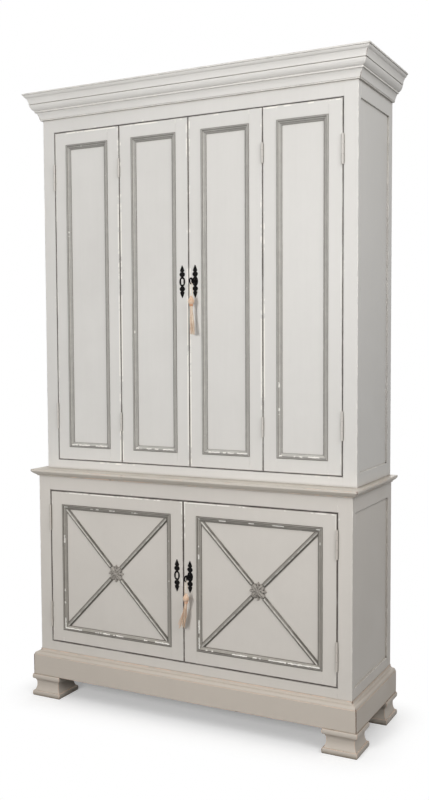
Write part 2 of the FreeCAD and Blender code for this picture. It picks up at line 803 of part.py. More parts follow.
def make_escutcheon(door, key_x, key_z, face_y):
    """A thin iron plate with a long round-ended keyhole, planted on the door's stile."""
    thick = float(size.escutcheon_thickness)
    plate = escutcheon_face().extrude(Vector(thick, 0, 0))
    radius = float(size.keyhole_width / 2)
    straight = float(size.keyhole_height - size.keyhole_width)
    hole = Part.makeBox(thick, 2 * radius, straight, Vector(0, -radius, -straight / 2))
    for end in (-straight / 2, straight / 2):
        hole = hole.fuse(Part.makeCylinder(radius, thick, Vector(0, 0, end), Vector(1, 0, 0)))
    plate = plate.cut(hole)
    flat = Placement(Vector(), Rotation(Vector(0, 0, 1), -QUARTER_TURN))
    node(f"{door}_escutcheon", seat(made(f"{door}_escutcheon_plate", plate, flat), key_x, face_y, key_z))


def make_lock(case, key_x, key_z, face_y, stile):
    """A hollow box lock on the back of the stile, with a bolt that slides out of its free edge."""
    rear = face_y + size.door_thickness
    x = (half_gap + size.lock_margin, half_gap + stile - size.lock_margin)
    y = (rear, rear + size.lock_depth)
    z = (key_z - size.lock_height / 2, key_z + size.lock_height / 2)
    hollow = [(low + size.lock_wall, high - size.lock_wall) for low, high in (x, y, z)]
    room = size.bolt_clearance
    bolt_y = (hollow[1][0] + room, hollow[1][0] + room + size.bolt_thickness)
    bolt_z = (key_z + size.bolt_rise, key_z + size.bolt_rise + size.bolt_height)
    slot = board(
        f"{case}_lock_slot", (x[0] - size.cut_overrun, hollow[0][0] + size.cut_overrun),
        (bolt_y[0] - room, bolt_y[1] + room), (bolt_z[0] - room, bolt_z[1] + room),
    )
    entry = rod(
        f"{case}_lock_entry", size.key_shank_radius + size.key_clearance,
        size.lock_wall + size.cut_overrun, key_x, rear - size.cut_overrun, key_z, ALONG_Y,
    )
    shell = board(f"{case}_lock_shell", x, y, z)
    cavity = board(f"{case}_lock_cavity", *hollow)
    node(f"{case}_lock_case", cut(f"{case}_lock_case", shell, cavity, slot, entry))
    node(f"{case}_lock_bolt", board(f"{case}_lock_bolt", (x[0], x[0] + size.bolt_length), bolt_y, bolt_z))


def make_key(case, key_x, key_z, face_y):
    """A key standing in its lock: ring bow, shank, collar and bit."""
    bow_y = face_y - size.key_reach + size.key_bow_diameter / 2
    ring = doc.addObject("Part::Torus", f"{case}_key_bow")
    ring.Placement = Placement(Vector(), Rotation(Vector(0, 1, 0), QUARTER_TURN))
    ring.setExpression("Radius1", bow_radius.formula)
    ring.setExpression("Radius2", (size.key_wire / 2).formula)
    seat(ring, key_x, bow_y, key_z)
    start = bow_y + bow_radius
    tip = face_y + size.door_thickness + size.key_tip_depth
    shank = rod(f"{case}_key_shank", size.key_shank_radius, tip - start, key_x, start, key_z, ALONG_Y)
    collar_y = face_y - size.key_collar_offset - size.key_collar_length
    collar = rod(
        f"{case}_key_collar", size.key_collar_radius, size.key_collar_length, key_x, collar_y, key_z, ALONG_Y
    )
    blade = size.key_bit_thickness / 2
    bit = board(
        f"{case}_key_bit", (key_x - blade, key_x + blade), (tip - size.key_bit_width, tip),
        (key_z - size.key_bit_length, key_z),
    )
    node(f"{case}_key", fuse(f"{case}_key", ring, shank, collar, bit))
    return bow_y


def make_tassel(case, key_x, key_z, bow_y):
    """A cord loop folded over the bottom of the bow, and the tassel that hangs on it."""
    fold = float(size.key_wire / 2 + size.loop_cord / 2 + size.loop_clearance)
    drop = float(size.loop_drop)
    ends = Vector(-fold, 0, -drop), Vector(fold, 0, -drop)
    tops = Vector(-fold, 0, 0), Vector(fold, 0, 0)
    path = Part.Wire([
        Part.LineSegment(ends[0], tops[0]).toShape(),
        Part.Arc(tops[0], Vector(0, 0, fold), tops[1]).toShape(),
        Part.LineSegment(tops[1], ends[1]).toShape(),
    ])
    section = Part.Wire(Part.makeCircle(float(size.loop_cord / 2), ends[0], Vector(0, 0, 1)))
    tube = path.makePipeShell([section], True, False)
    expected = pi * float(size.loop_cord / 2) ** 2 * path.Length
    print(f"{case} tassel loop: length {path.Length:.1f}, volume {tube.Volume / expected:.4f} of expected")
    wire_z = key_z - bow_radius
    node(f"{case}_tassel_loop", seat(made(f"{case}_loop", tube), key_x, bow_y, wire_z))
    neck = -size.tassel_head_height
    skirt = neck - size.tassel_neck_height
    hem = skirt - size.tassel_skirt_length
    bulge = size.tassel_head_bulge_share
    face = outline(
        (0, 0), (size.tassel_crown_radius, 0), (size.tassel_head_radius, neck / 2, bulge),
        (size.tassel_neck_radius, neck, bulge), (size.tassel_neck_radius, skirt),
        (size.tassel_skirt_radius, skirt), (size.tassel_hem_radius, hem), (0, hem),
    )
    body = face.revolve(Vector(), Vector(0, 0, 1), FULL_TURN)
    node(f"{case}_tassel", seat(made(f"{case}_tassel_body", body), key_x, bow_y, wire_z - size.loop_drop))


def make_upper_door(side, place, x, hinges):
    """One narrow upper door with its trim and hinge leaves."""
    door = f"upper_{side}_{place}_door"
    bore = None
    key_x = half_gap + size.upper_door_stile / 2
    key_z = upper_door_z[0] + size.upper_key_height
    active = (side, place) == ("right", "inner")
    if active:
        bore = key_bore("upper", key_x, key_z, upper_face)
    rails = (size.upper_door_rail, size.upper_door_rail)
    inner_x, inner_z = make_door_frame(door, x, upper_door_z, upper_face, size.upper_door_stile, rails, bore)
    node(f"{door}_moulding", *make_trim(door, inner_x, inner_z, upper_face))
    node(f"{door}_hinges", *hinges)
    if place == "inner":
        make_escutcheon(door, key_x if active else -key_x, key_z, upper_face)
    if active:
        make_lock("upper", key_x, key_z, upper_face, size.upper_door_stile)
        make_tassel("upper", key_x, key_z, make_key("upper", key_x, key_z, upper_face))


def make_lower_door(side, x, hinges):
    """One wide lower door with its trim, cross, rosette and hinge leaves."""
    door = f"lower_{side}_door"
    bore = None
    key_x = half_gap + size.lower_door_stile / 2
    key_z = lower_door_z[0] + size.lower_key_height
    active = side == "right"
    if active:
        bore = key_bore("lower", key_x, key_z, lower_face)
    rails = (size.lower_door_bottom_rail, size.lower_door_top_rail)
    inner_x, inner_z = make_door_frame(door, x, lower_door_z, lower_face, size.lower_door_stile, rails, bore)
    trim = make_trim(door, inner_x, inner_z, lower_face)
    node(f"{door}_moulding", *trim, *make_cross(door, inner_x, inner_z, lower_face))
    make_rosette(door, inner_x, inner_z, lower_face)
    node(f"{door}_hinges", *hinges)
    make_escutcheon(door, key_x if active else -key_x, key_z, lower_face)
    if active:
        make_lock("lower", key_x, key_z, lower_face, size.lower_door_stile)
        make_tassel("lower", key_x, key_z, make_key("lower", key_x, key_z, lower_face))


def key_bore(case, key_x, key_z, face_y):
    """The round hole through a stile for the key's shank."""
    radius = size.key_shank_radius + size.key_clearance
    length = size.door_thickness + size.cut_overrun * 2
    return rod(f"{case}_key_bore", radius, length, key_x, face_y - size.cut_overrun, key_z, ALONG_Y)


def make_doors():
    """All doors and the hinges that carry them."""
    case_hinges = []
    for side, sign in (("left", -1), ("right", 1)):
        outer = mirrored(sign, upper_half - size.door_gap - upper_door_width, upper_half - size.door_gap)
        inner = mirrored(sign, half_gap, half_gap + upper_door_width)
        case_axis = (upper_half - half_gap) * sign
        fold_axis = (upper_door_width + size.door_gap) * sign
        fixed, leaves, pins = hinge_pair(
            f"upper_{side}_case_hinge", case_axis, upper_face, upper_door_z,
            size.upper_hinge_inset, size.case_hinge_length, sign,
        )
        case_hinges += [*fixed, *pins]
        fold_fixed, fold_leaves, fold_pins = hinge_pair(
            f"upper_{side}_fold_hinge", fold_axis, upper_face, upper_door_z,
            size.fold_hinge_inset, size.fold_hinge_length, sign,
        )
        make_upper_door(side, "outer", outer, [*leaves, *fold_fixed, *fold_pins])
        make_upper_door(side, "inner", inner, fold_leaves)
        wide = mirrored(sign, half_gap, lower_half - size.door_gap)
        lower_axis = (lower_half - half_gap) * sign
        fixed, leaves, pins = hinge_pair(
            f"lower_{side}_hinge", lower_axis, lower_face, lower_door_z,
            size.lower_hinge_inset, size.case_hinge_length, sign,
        )
        case_hinges += [*fixed, *pins]
        make_lower_door(side, wide, leaves)
    node("case_hinges", *case_hinges)


def make_cases():
    """Both carcasses: face frames, sides and boards."""
    lower_z = (lower_bottom, lower_top)
    upper_z = (upper_bottom, upper_top)
    make_face_frame("lower", size.lower_width, size.lower_post, lower_face, lower_z, lower_opening)
    make_face_frame("upper", upper_width, size.upper_post, upper_face, upper_z, upper_opening)
    upper_panel = (upper_bottom + size.upper_side_bottom_rail, upper_top - size.upper_side_top_rail)
    for sign in (-1, 1):
        make_side("lower", sign, size.lower_width, lower_face, lower_z, lower_opening)
        make_side("upper", sign, upper_width, upper_face, upper_z, upper_panel)
    node("shelf_cleats", *make_lower_boards(), *make_upper_boards())


def check_and_write():
    """Every object sound and every sub-part a valid shape, then one file for each sub-part."""
    doc.recompute()
    for thing in doc.Objects:
        if {"Invalid", "Error"} & set(thing.State):
            raise RuntimeError(f"{thing.Name} failed: {thing.State}")
    for part in nodes:
        if part.Shape.isNull() or not part.Shape.isValid() or not part.Shape.Solids:
            raise RuntimeError(f"{part.Label} is not a sound solid")
    os.makedirs("parts", exist_ok=True)
    for part in nodes:
        part.Shape.exportStep(f"parts/{part.Label}.step")
    print(f"{len(nodes)} sub-parts, {sum(len(part.Shape.Solids) for part in nodes)} solids")


make_feet()
make_plinth()
make_cases()
make_waist()
make_crown()
make_doors()
check_and_write()
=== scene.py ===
import math
import random

import bmesh
import bpy
from mathutils import Matrix, Vector


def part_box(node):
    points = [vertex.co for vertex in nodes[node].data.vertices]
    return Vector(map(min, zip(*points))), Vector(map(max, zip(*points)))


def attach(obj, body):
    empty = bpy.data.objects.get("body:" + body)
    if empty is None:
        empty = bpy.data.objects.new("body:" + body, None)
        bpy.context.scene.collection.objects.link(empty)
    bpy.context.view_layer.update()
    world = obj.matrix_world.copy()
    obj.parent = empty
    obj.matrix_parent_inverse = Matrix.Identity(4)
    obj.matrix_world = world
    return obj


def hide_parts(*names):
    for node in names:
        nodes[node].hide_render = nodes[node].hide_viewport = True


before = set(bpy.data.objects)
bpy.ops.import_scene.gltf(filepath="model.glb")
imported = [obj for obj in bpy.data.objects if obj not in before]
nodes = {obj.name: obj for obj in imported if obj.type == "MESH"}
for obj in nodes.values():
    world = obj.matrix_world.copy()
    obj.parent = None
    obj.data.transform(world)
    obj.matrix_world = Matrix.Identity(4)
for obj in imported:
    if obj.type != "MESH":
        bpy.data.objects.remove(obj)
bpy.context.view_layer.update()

scene = bpy.context.scene


# Camera

EYE = Vector((1.7181, -3.2507, 1.4015))
AIM_DEGREES = (-27.419, -3.407, -0.283)
SENSOR_MM = 36
LENS_MM = 43.58


def make_camera():
    """The photograph's viewpoint: eye height, well to the right of the cupboard's middle."""
    yaw, pitch, roll = (math.radians(angle) for angle in AIM_DEGREES)
    level = math.cos(pitch)
    forward = Vector((math.sin(yaw) * level, math.cos(yaw) * level, math.sin(pitch)))
    right = Vector((math.cos(yaw), -math.sin(yaw), 0))
    up = right.cross(forward)
    tilted_right = right * math.cos(roll) + up * math.sin(roll)
    tilted_up = up * math.cos(roll) - right * math.sin(roll)
    data = bpy.data.cameras.new("camera")
    data.sensor_width = SENSOR_MM
    data.lens = LENS_MM
    camera = bpy.data.objects.new("camera", data)
    turn = Matrix((tilted_right, tilted_up, -forward)).transposed().to_4x4()
    camera.matrix_world = Matrix.Translation(EYE) @ turn
    scene.collection.objects.link(camera)
    scene.camera = camera


make_camera()


# Materials

def linear(*channels):
    """A colour as the eye reads it, 0 to 255, as linear values."""
    shares = [channel / 255 for channel in channels]
    return tuple(c / 12.92 if c <= 0.04045 else ((c + 0.055) / 1.055) ** 2.4 for c in shares)


def rgb(*channels):
    """The same with full alpha, for a node's socket."""
    return *linear(*channels), 1


def shade(tint, *factors):
    """A colour with its channels scaled, by one factor or by three, kept below white."""
    factors = factors if len(factors) == 3 else factors * 3
    return tuple(min(1, c * k) for c, k in zip(tint, factors)) + (1,)


class Surface:
    """A node material and short names for the nodes it is made of."""

    def __init__(self, name):
        self.material = bpy.data.materials.new(name)
        self.material.use_nodes = True
        self.tree = self.material.node_tree
        self.tree.nodes.clear()
        self.shader = self.tree.nodes.new("ShaderNodeBsdfPrincipled")
        output = self.tree.nodes.new("ShaderNodeOutputMaterial")
        self.tree.links.new(self.shader.outputs[0], output.inputs[0])
        place = self.node("TexCoord")
        self.where = place.outputs["Object"]
        self.share = place.outputs["Generated"]
        self.facing = place.outputs["Normal"]

    def put(self, socket, value):
        if isinstance(value, bpy.types.NodeSocket):
            self.tree.links.new(value, socket)
        else:
            socket.default_value = value

    def node(self, kind, values=None, **settings):
        made = self.tree.nodes.new("ShaderNode" + kind)
        for name, value in settings.items():
            setattr(made, name, value)
        for name, value in (values or {}).items():
            self.put(made.inputs[name], value)
        return made

    def math(self, operation, first, second=0.0, clamp=False):
        values = {0: first, 1: second}
        return self.node("Math", values, operation=operation, use_clamp=clamp).outputs[0]

    def add(self, *values):
        total = values[0]
        for value in values[1:]:
            total = self.math("ADD", total, value)
        return total

    def times(self, *values):
        total = values[0]
        for value in values[1:]:
            total = self.math("MULTIPLY", total, value)
        return total

    def rest(self, value):
        """What a share leaves of one."""
        return self.math("SUBTRACT", 1.0, value)

    def about(self, value, weight):
        """A noise value as plus and minus half its weight."""
        return self.times(self.math("SUBTRACT", value, 0.5), weight)

    def stretched(self, x, y, z):
        """The place on the object, scaled along each axis."""
        made = self.node("VectorMath", {0: self.where, 1: (x, y, z)}, operation="MULTIPLY")
        return made.outputs[0]

    def noise(self, scale, detail=3.0, roughness=0.5, where=None, distortion=0.0):
        values = {
            "Vector": where or self.where, "Scale": scale, "Detail": detail,
            "Roughness": roughness, "Distortion": distortion,
        }
        return self.node("TexNoise", values).outputs[0]

    def line_noise(self, along, scale, detail):
        values = {"W": along, "Scale": scale, "Detail": detail}
        return self.node("TexNoise", values, noise_dimensions="1D").outputs[0]

    def step(self, value, low, high, first=0.0, last=1.0):
        """A smooth step from first to last as value goes from low to high."""
        values = {
            "Value": value, "From Min": low, "From Max": high, "To Min": first, "To Max": last,
        }
        return self.node("MapRange", values, interpolation_type="SMOOTHSTEP").outputs[0]

    def band(self, value, middle, half, soft):
        """One within half of middle, fading to zero over soft."""
        away = self.math("ABSOLUTE", self.math("SUBTRACT", value, middle))
        return self.step(away, half, half + soft, 1.0, 0.0)

    def mix(self, share, first, second):
        made = self.node("Mix", data_type="RGBA")
        for slot, value in ((0, share), (6, first), (7, second)):
            self.put(made.inputs[slot], value)
        return made.outputs[2]

    def parts(self, vector):
        return self.node("SeparateXYZ", {0: vector}).outputs

    def edges(self, radius):
        """How far the face turns within radius, up to 0.3 on a square edge, and its soft normal."""
        rounded = self.node("Bevel", {"Radius": radius}, samples=8).outputs[0]
        normal = self.node("NewGeometry").outputs["Normal"]
        across = self.node("VectorMath", {0: rounded, 1: normal}, operation="DOT_PRODUCT")
        return self.rest(across.outputs["Value"]), rounded

    def hollows(self, distance):
        """One in the open, falling towards inner corners and narrow gaps."""
        return self.node("AmbientOcclusion", {"Distance": distance}, samples=8).outputs["AO"]

    def finish(self, colour, roughness, height, depth, strength, normal=None, specular=0.4):
        values = {"Height": height, "Distance": depth, "Strength": strength}
        if normal is not None:
            values["Normal"] = normal
        bump = self.node("Bump", values).outputs[0]
        self.put(self.shader.inputs["Base Color"], colour)
        self.put(self.shader.inputs["Roughness"], roughness)
        self.put(self.shader.inputs["Normal"], bump)
        self.shader.inputs["Specular IOR Level"].default_value = specular
        return self.material


def from_edges(s, node):
    """Distances on a door's flat frame from its nearest side and from its nearest end."""
    low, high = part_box(node)
    u, _, w = s.parts(s.share)
    from_side = s.times(s.math("MINIMUM", u, s.rest(u)), high.x - low.x)
    from_end = s.times(s.math("MINIMUM", w, s.rest(w)), high.z - low.z)
    return from_side, from_end


# White paint

CREAM = rgb(248, 244, 236)
BLUSH = rgb(226, 200, 180)
BARE = rgb(104, 78, 62)
# Dirt colour, also used as painted shade in inside corners.
DIRT_AND_SHADE = rgb(140, 128, 112)
# Painted shade for narrow gaps and the tightest corners.
GAP_SHADE = rgb(40, 33, 28)
# Painted shade on the face beside a gap.
GAP_EDGE_SHADE = rgb(64, 44, 34)
DARK_COAT = (0.885, 0.875, 0.865)
LIGHT_COAT = (1.075, 1.07, 1.065)
# A darker copy of the tint for coves: antique glazing and painted shade.
GLAZE_SHADE_COAT = (0.58, 0.55, 0.51)
STROKES = {"x": (4.0, 75.0, 75.0), "z": (75.0, 75.0, 4.0)}
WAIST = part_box("waist_moulding")[0].z
WAIST_SOFT = 0.01
DOOR_GAP = 0.0026
SHELTER_SIZE = 0.05
CORNER_SIZE = 0.014

# Distances from a gap or an edge, each from where a mark is gone to where it is whole.
PAST_GAP = (-0.002, -0.001)
FRAME_WEAR = (0.02, 0.016)
HAND_WEAR = (0.008, 0.0055)
GAP_SHADE_LINE = (0.0034, 0.0018)
LESS_TOUCHED = (0.0105, 0.0085)

# How much hands still reach a door's edge beside its hinges and along its bottom.
HINGE_TOUCH = 0.35
BOTTOM_TOUCH = 0.1


def coat(s, tint, tone):
    """Paint between a darker and a lighter tone of one tint."""
    return s.mix(tone, shade(tint, *DARK_COAT), shade(tint, *LIGHT_COAT))


def from_opening(s, doors):
    """Distance on a case's front from the opening that its doors fill."""
    boxes = [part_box(f"{door}_frame") for door in doors]
    right = max(high.x for _, high in boxes) + DOOR_GAP
    bottom = min(low.z for low, _ in boxes) - DOOR_GAP
    top = max(high.z for _, high in boxes) + DOOR_GAP
    x, _, z = s.parts(s.where)
    aside = s.math("SUBTRACT", s.math("ABSOLUTE", x), right)
    beyond = s.math("ABSOLUTE", s.math("SUBTRACT", z, (bottom + top) / 2))
    return s.math("MAXIMUM", aside, s.math("SUBTRACT", beyond, (top - bottom) / 2))


def less_handled(s, door):
    """How much hands reach a door's edges: less beside its hinges, least along its bottom."""
    low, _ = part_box(door)
    gone, whole = LESS_TOUCHED
    x, _, z = s.parts(s.where)
    hinged = s.step(s.math("ABSOLUTE", x), -low.x - gone, -low.x - whole, 1.0, HINGE_TOUCH)
    return hinged, s.step(z, low.z + whole, low.z + gone, BOTTOM_TOUCH, 1.0)


def paint(name, tint, run="z", below=None, under=CREAM, wear=0.5, bare=0.0, grime_and_shade=0.5, gap_shade=0.95,
          streak=0.16, radius=0.003, reach=0.005, corner=0.0, gap_edge_shade=0.0, rub=0.0, glaze_and_shade=0.0,
          top_edge_darkening=0.0, door=None, doors=None):
    """Worn matt paint: brush strokes along the wood, rubbed edges, and darkened corners and gaps.

    The darkening in corners is partly dirt and antique glazing and partly painted shade; in narrow
    gaps and the tightest corners it is painted shade. The rubbing reaches in from the edges, and
    the upturned edges are darker. Beside the gap round a door, or round the opening of a case's
    doors, a dark edge is painted shade that widens the gap's shadow, and next to it hands have
    rubbed the paint to the under coat. Below the waist the tint may be another.
    """
    s = Surface(name)
    brush = s.noise(1.0, 4.0, 0.6, s.stretched(*STROKES[run]))
    cloud = s.noise(1.5, 3.0)
    patch = s.noise(9.0, 5.0, 0.6)
    fine = s.noise(160.0, 4.0, 0.65)
    tone = s.add(s.about(cloud, 0.8), s.about(patch, 0.5), s.about(brush, streak))
    tone = s.math("ADD", tone, 0.5, clamp=True)
    colour = coat(s, tint, tone)
    if below:
        above_waist = s.step(s.parts(s.where)["Z"], WAIST - WAIST_SOFT, WAIST)
        colour = s.mix(above_waist, coat(s, below, tone), colour)
    # Coves and sheltered hollows darken: partly antique glazing, partly painted shade.
    if glaze_and_shade:
        cove_glaze_shade = s.step(s.hollows(SHELTER_SIZE), 0.97, 0.42)
        colour = s.mix(s.times(cove_glaze_shade, glaze_and_shade), colour, shade(tint, *GLAZE_SHADE_COAT))

    # Inside corners darken towards the dirt colour: partly dirt, partly painted shade where shade
    # falls.
    open_air = s.hollows(CORNER_SIZE)
    corner_dirt_and_shade = s.times(s.step(open_air, 0.93, 0.4), s.step(patch, 0.3, 0.65, 0.45, 1.0), grime_and_shade)
    colour = s.mix(corner_dirt_and_shade, colour, DIRT_AND_SHADE)
    # Painted shade: near-black in narrow gaps and the tightest corners, where shade falls.
    colour = s.mix(s.step(open_air, 0.5, 0.27, 0.0, gap_shade), colour, GAP_SHADE)

    gap = None
    if door:
        gap = s.math("MINIMUM", *from_edges(s, door))
    elif doors:
        gap = from_opening(s, doors)
    turned, wide = s.edges(reach)
    _, rounded = s.edges(radius)
    if door:
        turned = s.times(turned, s.step(gap, *FRAME_WEAR))
    wide_x, wide_y, wide_z = s.parts(wide)
    upright = s.step(s.math("ABSOLUTE", s.times(wide_x, wide_y)), 0.06, 0.3)
    at_corner = s.times(upright, corner)
    convex = s.step(open_air, 0.5, 0.72)
    broken = s.noise(30.0, 5.0, 0.65)
    rubbed = s.noise(4.3, 2.0)
    on_edge = s.step(turned, 0.008, 0.1)
    reached = s.add(on_edge, s.times(broken, 1.2), s.times(rubbed, 0.7), at_corner)
    through = s.step(reached, 2.35 - 0.6 * wear, 2.6 - 0.6 * wear)
    worn = s.times(convex, through, s.step(turned, 0.003, 0.03))
    cut = s.add(s.noise(21.0, 4.0, 0.6), s.times(rubbed, 0.5), at_corner)
    to_wood = s.step(cut, 1.03 - bare, 1.12 - bare)
    colour = s.mix(worn, colour, s.mix(to_wood, under, BARE))

    if gap is not None:
        front = s.times(s.step(s.parts(s.facing)["Y"], -0.4, -0.6), s.step(gap, *PAST_GAP))
        touched = s.add(s.times(broken, 0.5), s.times(rubbed, 0.7))
        handled = s.step(touched, 0.66 - rub, 0.72 - rub)
        if door:
            handled = s.times(handled, *less_handled(s, door))
        colour = s.mix(s.times(s.step(gap, *HAND_WEAR), handled, front), colour, under)
        # Painted shade: a dark edge on the face beside the gap widens the gap's shadow.
        patchy = s.step(patch, 0.3, 0.6, 0.55, 1.0)
        colour = s.mix(s.times(s.step(gap, *GAP_SHADE_LINE), patchy, front, gap_edge_shade), colour, GAP_EDGE_SHADE)
    # The upturned edges are darker.
    if top_edge_darkening:
        top = s.times(s.step(wide_z, 0.2, 0.5), s.step(turned, 0.05, 0.15), top_edge_darkening)
        colour = s.mix(top, colour, DIRT_AND_SHADE)
    rough = s.add(s.step(patch, 0.2, 0.8, 0.48, 0.64), s.times(worn, 0.15))
    height = s.add(s.times(brush, 0.5), s.times(fine, 0.3), s.times(worn, -0.8))
    return s.finish(colour, rough, height, depth=0.0005, strength=0.3, normal=rounded)


# Grey paint

CHIP = rgb(246, 243, 236)
# The grey of painted shade, as shares of the trim's tint.
SHADE_GREY = (0.27, 0.26, 0.24)
CUT_SHADE_GREY = (0.17, 0.16, 0.145)
TRIM = 0.019
ARM = 0.0175

# Places across a moulding strip, as shares of its width, and the half width and softness of a line.
QUIRK = 0.37
RIDGE = 0.5
HOLLOW = 0.58
INNER_EDGE = 0.98
LINE = (0.035, 0.05)


def paint_cross(s, colour, arm, below, above, lit_coat, shade_colour, broken, patch):
    """The cross's arms: dark lines beside the ridges as painted shade, the rising arm darker and
    the falling one lighter as painted light and shade, and ridges rubbed to the white in places,
    which are partly painted highlight.

    Below and above are the distances from the middle lines of the rising and the falling arm.
    """
    half = ARM / 2
    rising = s.times(s.step(s.math("ABSOLUTE", below), ARM * 0.62, ARM * 0.57), arm)
    falling = s.times(s.rest(rising), arm)
    rubbed = s.step(broken, 0.4, 0.56, 0.25, 1.0)
    dashed = s.step(patch, 0.35, 0.55, 0.6, 0.95)

    # Painted shade: the rising arm darker, with dark lines at its sides for its shadow.
    colour = s.mix(rising, colour, lit_coat(0.86))
    # A light ridge: partly rubbed chips, partly painted highlight.
    ridge = s.band(below, half * 0.2, half * 0.1, half * 0.2)
    colour = s.mix(s.times(rising, ridge, rubbed, 0.5), colour, CHIP)
    low_line = s.step(below, half * 0.34, half * 0.52)
    colour = s.mix(s.times(rising, low_line, 0.95), colour, shade_colour)
    high_line = s.step(below, -half * 0.62, -half * 0.85)
    colour = s.mix(s.times(rising, high_line, 0.75), colour, shade_colour)

    # Painted light: the falling arm lighter, with painted shade lines at its sides.
    colour = s.mix(falling, colour, lit_coat(1.3))
    # A light ridge: partly rubbed chips, partly painted highlight.
    ridge = s.band(above, 0.0, half * 0.12, half * 0.2)
    colour = s.mix(s.times(falling, ridge, rubbed, 0.5), colour, CHIP)
    high_line = s.step(above, half * 0.26, half * 0.46)
    colour = s.mix(s.times(falling, high_line, dashed), colour, shade_colour)
    low_line = s.step(above, -half * 0.28, -half * 0.5)
    return s.mix(s.times(falling, low_line, dashed, 0.85), colour, shade_colour)


def grey_trim(name, tint, node, chips, line_shade, shaded):
    """Grey paint on the doors' planted mouldings: painted light and shade, and chips to the white
    below.

    The chips' amounts are for the bottom, top, left and right strips; the next argument is the
    depth of the painted shade lines, and the last the depth of the painted shade on the top strip.
    """
    low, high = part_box(node)
    width, height = high.x - low.x, high.z - low.z
    s = Surface(name)
    u, _, w = s.parts(s.share)
    x, _, z = s.parts(s.where)
    from_side, from_end = from_edges(s, node)
    across = s.math("DIVIDE", s.math("MINIMUM", from_side, from_end), TRIM)
    strip = s.step(across, 1.005, 0.995)
    upright = s.math("LESS_THAN", from_side, from_end)
    level = s.rest(upright)
    left, bottom = s.math("LESS_THAN", u, 0.5), s.math("LESS_THAN", w, 0.5)
    at_bottom, at_top = s.times(level, bottom), s.times(level, s.rest(bottom))
    at_left, at_right = s.times(upright, left), s.times(upright, s.rest(left))
    patch = s.noise(13.0, 4.0, 0.6)
    brush = s.noise(45.0, 3.0, 0.6)
    broken = s.noise(60.0, 4.0, 0.65)
    tone = s.step(s.add(s.times(patch, 0.6), s.times(brush, 0.4)), 0.3, 0.7)
    shade_colour = shade(tint, *SHADE_GREY)

    # Lighter and darker copies of the grey, for painted light and shade.
    def lit_coat(factor):
        return s.mix(tone, shade(tint, factor * 0.88), shade(tint, factor * 1.1))

    # Painted light and shade across the profile: a lighter flat, a darker bead and a darker inner
    # hollow.
    inner = s.step(across, HOLLOW - 0.04, HOLLOW + 0.06)
    bead = s.step(across, QUIRK + 0.02, QUIRK - 0.02)
    colour = s.mix(bead, s.mix(inner, lit_coat(1.2), lit_coat(0.86)), lit_coat(0.88))
    # Painted shade on the top strip's face; on the bottom strip, painted shade on its bead and
    # painted light on its inner lip.
    colour = s.mix(s.times(at_top, strip, shaded), colour, lit_coat(0.6))
    colour = s.mix(s.times(at_bottom, strip, bead, 0.6), colour, lit_coat(0.55))
    colour = s.mix(s.times(at_bottom, strip, inner, 0.55), colour, lit_coat(1.35))
    # Painted shade: dark lines at the outer edge, in the quirk and at the inner lip.
    outer_line = s.times(s.step(across, 0.12, 0.03), line_shade)
    quirk_depth = s.add(0.85 * line_shade, s.times(at_bottom, 0.2))
    quirk_line = s.times(s.band(across, QUIRK, *LINE), quirk_depth)
    inner_line = s.times(s.band(across, INNER_EDGE, *LINE), line_shade)
    lines = s.math("MAXIMUM", outer_line, s.math("MAXIMUM", quirk_line, inner_line))
    patchy = s.step(patch, 0.25, 0.55, 0.55, 1.0)
    colour = s.mix(s.times(lines, patchy, strip), colour, shade_colour)

    wide, tall = width - 2 * TRIM, height - 2 * TRIM
    long = math.hypot(wide, tall)
    run = s.times(s.math("SUBTRACT", u, 0.5), width * tall / long)
    rise = s.times(s.math("SUBTRACT", w, 0.5), height * wide / long)
    below, above = s.math("SUBTRACT", run, rise), s.math("ADD", run, rise)
    colour = paint_cross(s, colour, s.rest(strip), below, above, lit_coat, shade_colour, broken, patch)
    # Painted shade in the corners beside the moulding.
    open_air = s.hollows(0.011)
    colour = s.mix(s.step(open_air, 0.8, 0.35, 0.0, 0.85), colour, shade_colour)

    seed = s.times(s.node("ObjectInfo").outputs["Random"], 37.0)
    shifts = s.times(left, 3.1), s.times(bottom, 5.7), s.times(upright, 9.3)
    along = s.add(s.times(z, upright), s.times(x, level), seed, *shifts)
    short_dashes = s.times(s.line_noise(along, 12.0, 3.0), 0.75)
    dashes = s.add(short_dashes, s.times(s.line_noise(along, 3.7, 1.0), 0.45))
    low_down = s.times(s.step(w, 0.65, 0.3), at_left, 0.1)
    sides = (at_bottom, at_top, at_left, at_right)
    amount = s.add(low_down, *(s.times(side, chip) for side, chip in zip(sides, chips)))
    jitter = s.about(s.noise(110.0, 3.0), 0.2)
    ridge = s.band(s.add(across, jitter), RIDGE, 0.075, 0.06)
    chipped = s.times(ridge, s.step(s.add(dashes, amount), 0.69, 0.715), strip)
    turned, rounded = s.edges(0.0025)
    reached = s.add(s.step(turned, 0.015, 0.12), s.times(broken, 1.3))
    rubs = s.times(s.step(reached, 1.72, 1.86), s.step(open_air, 0.7, 0.9))
    bared = s.math("MAXIMUM", chipped, s.times(rubs, 0.6), clamp=True)
    colour = s.mix(bared, colour, CHIP)
    rough = s.step(patch, 0.2, 0.8, 0.48, 0.62)
    relief = s.add(s.times(brush, 0.5), s.times(bared, -1.0))
    return s.finish(colour, rough, relief, depth=0.0006, strength=0.35, normal=rounded)


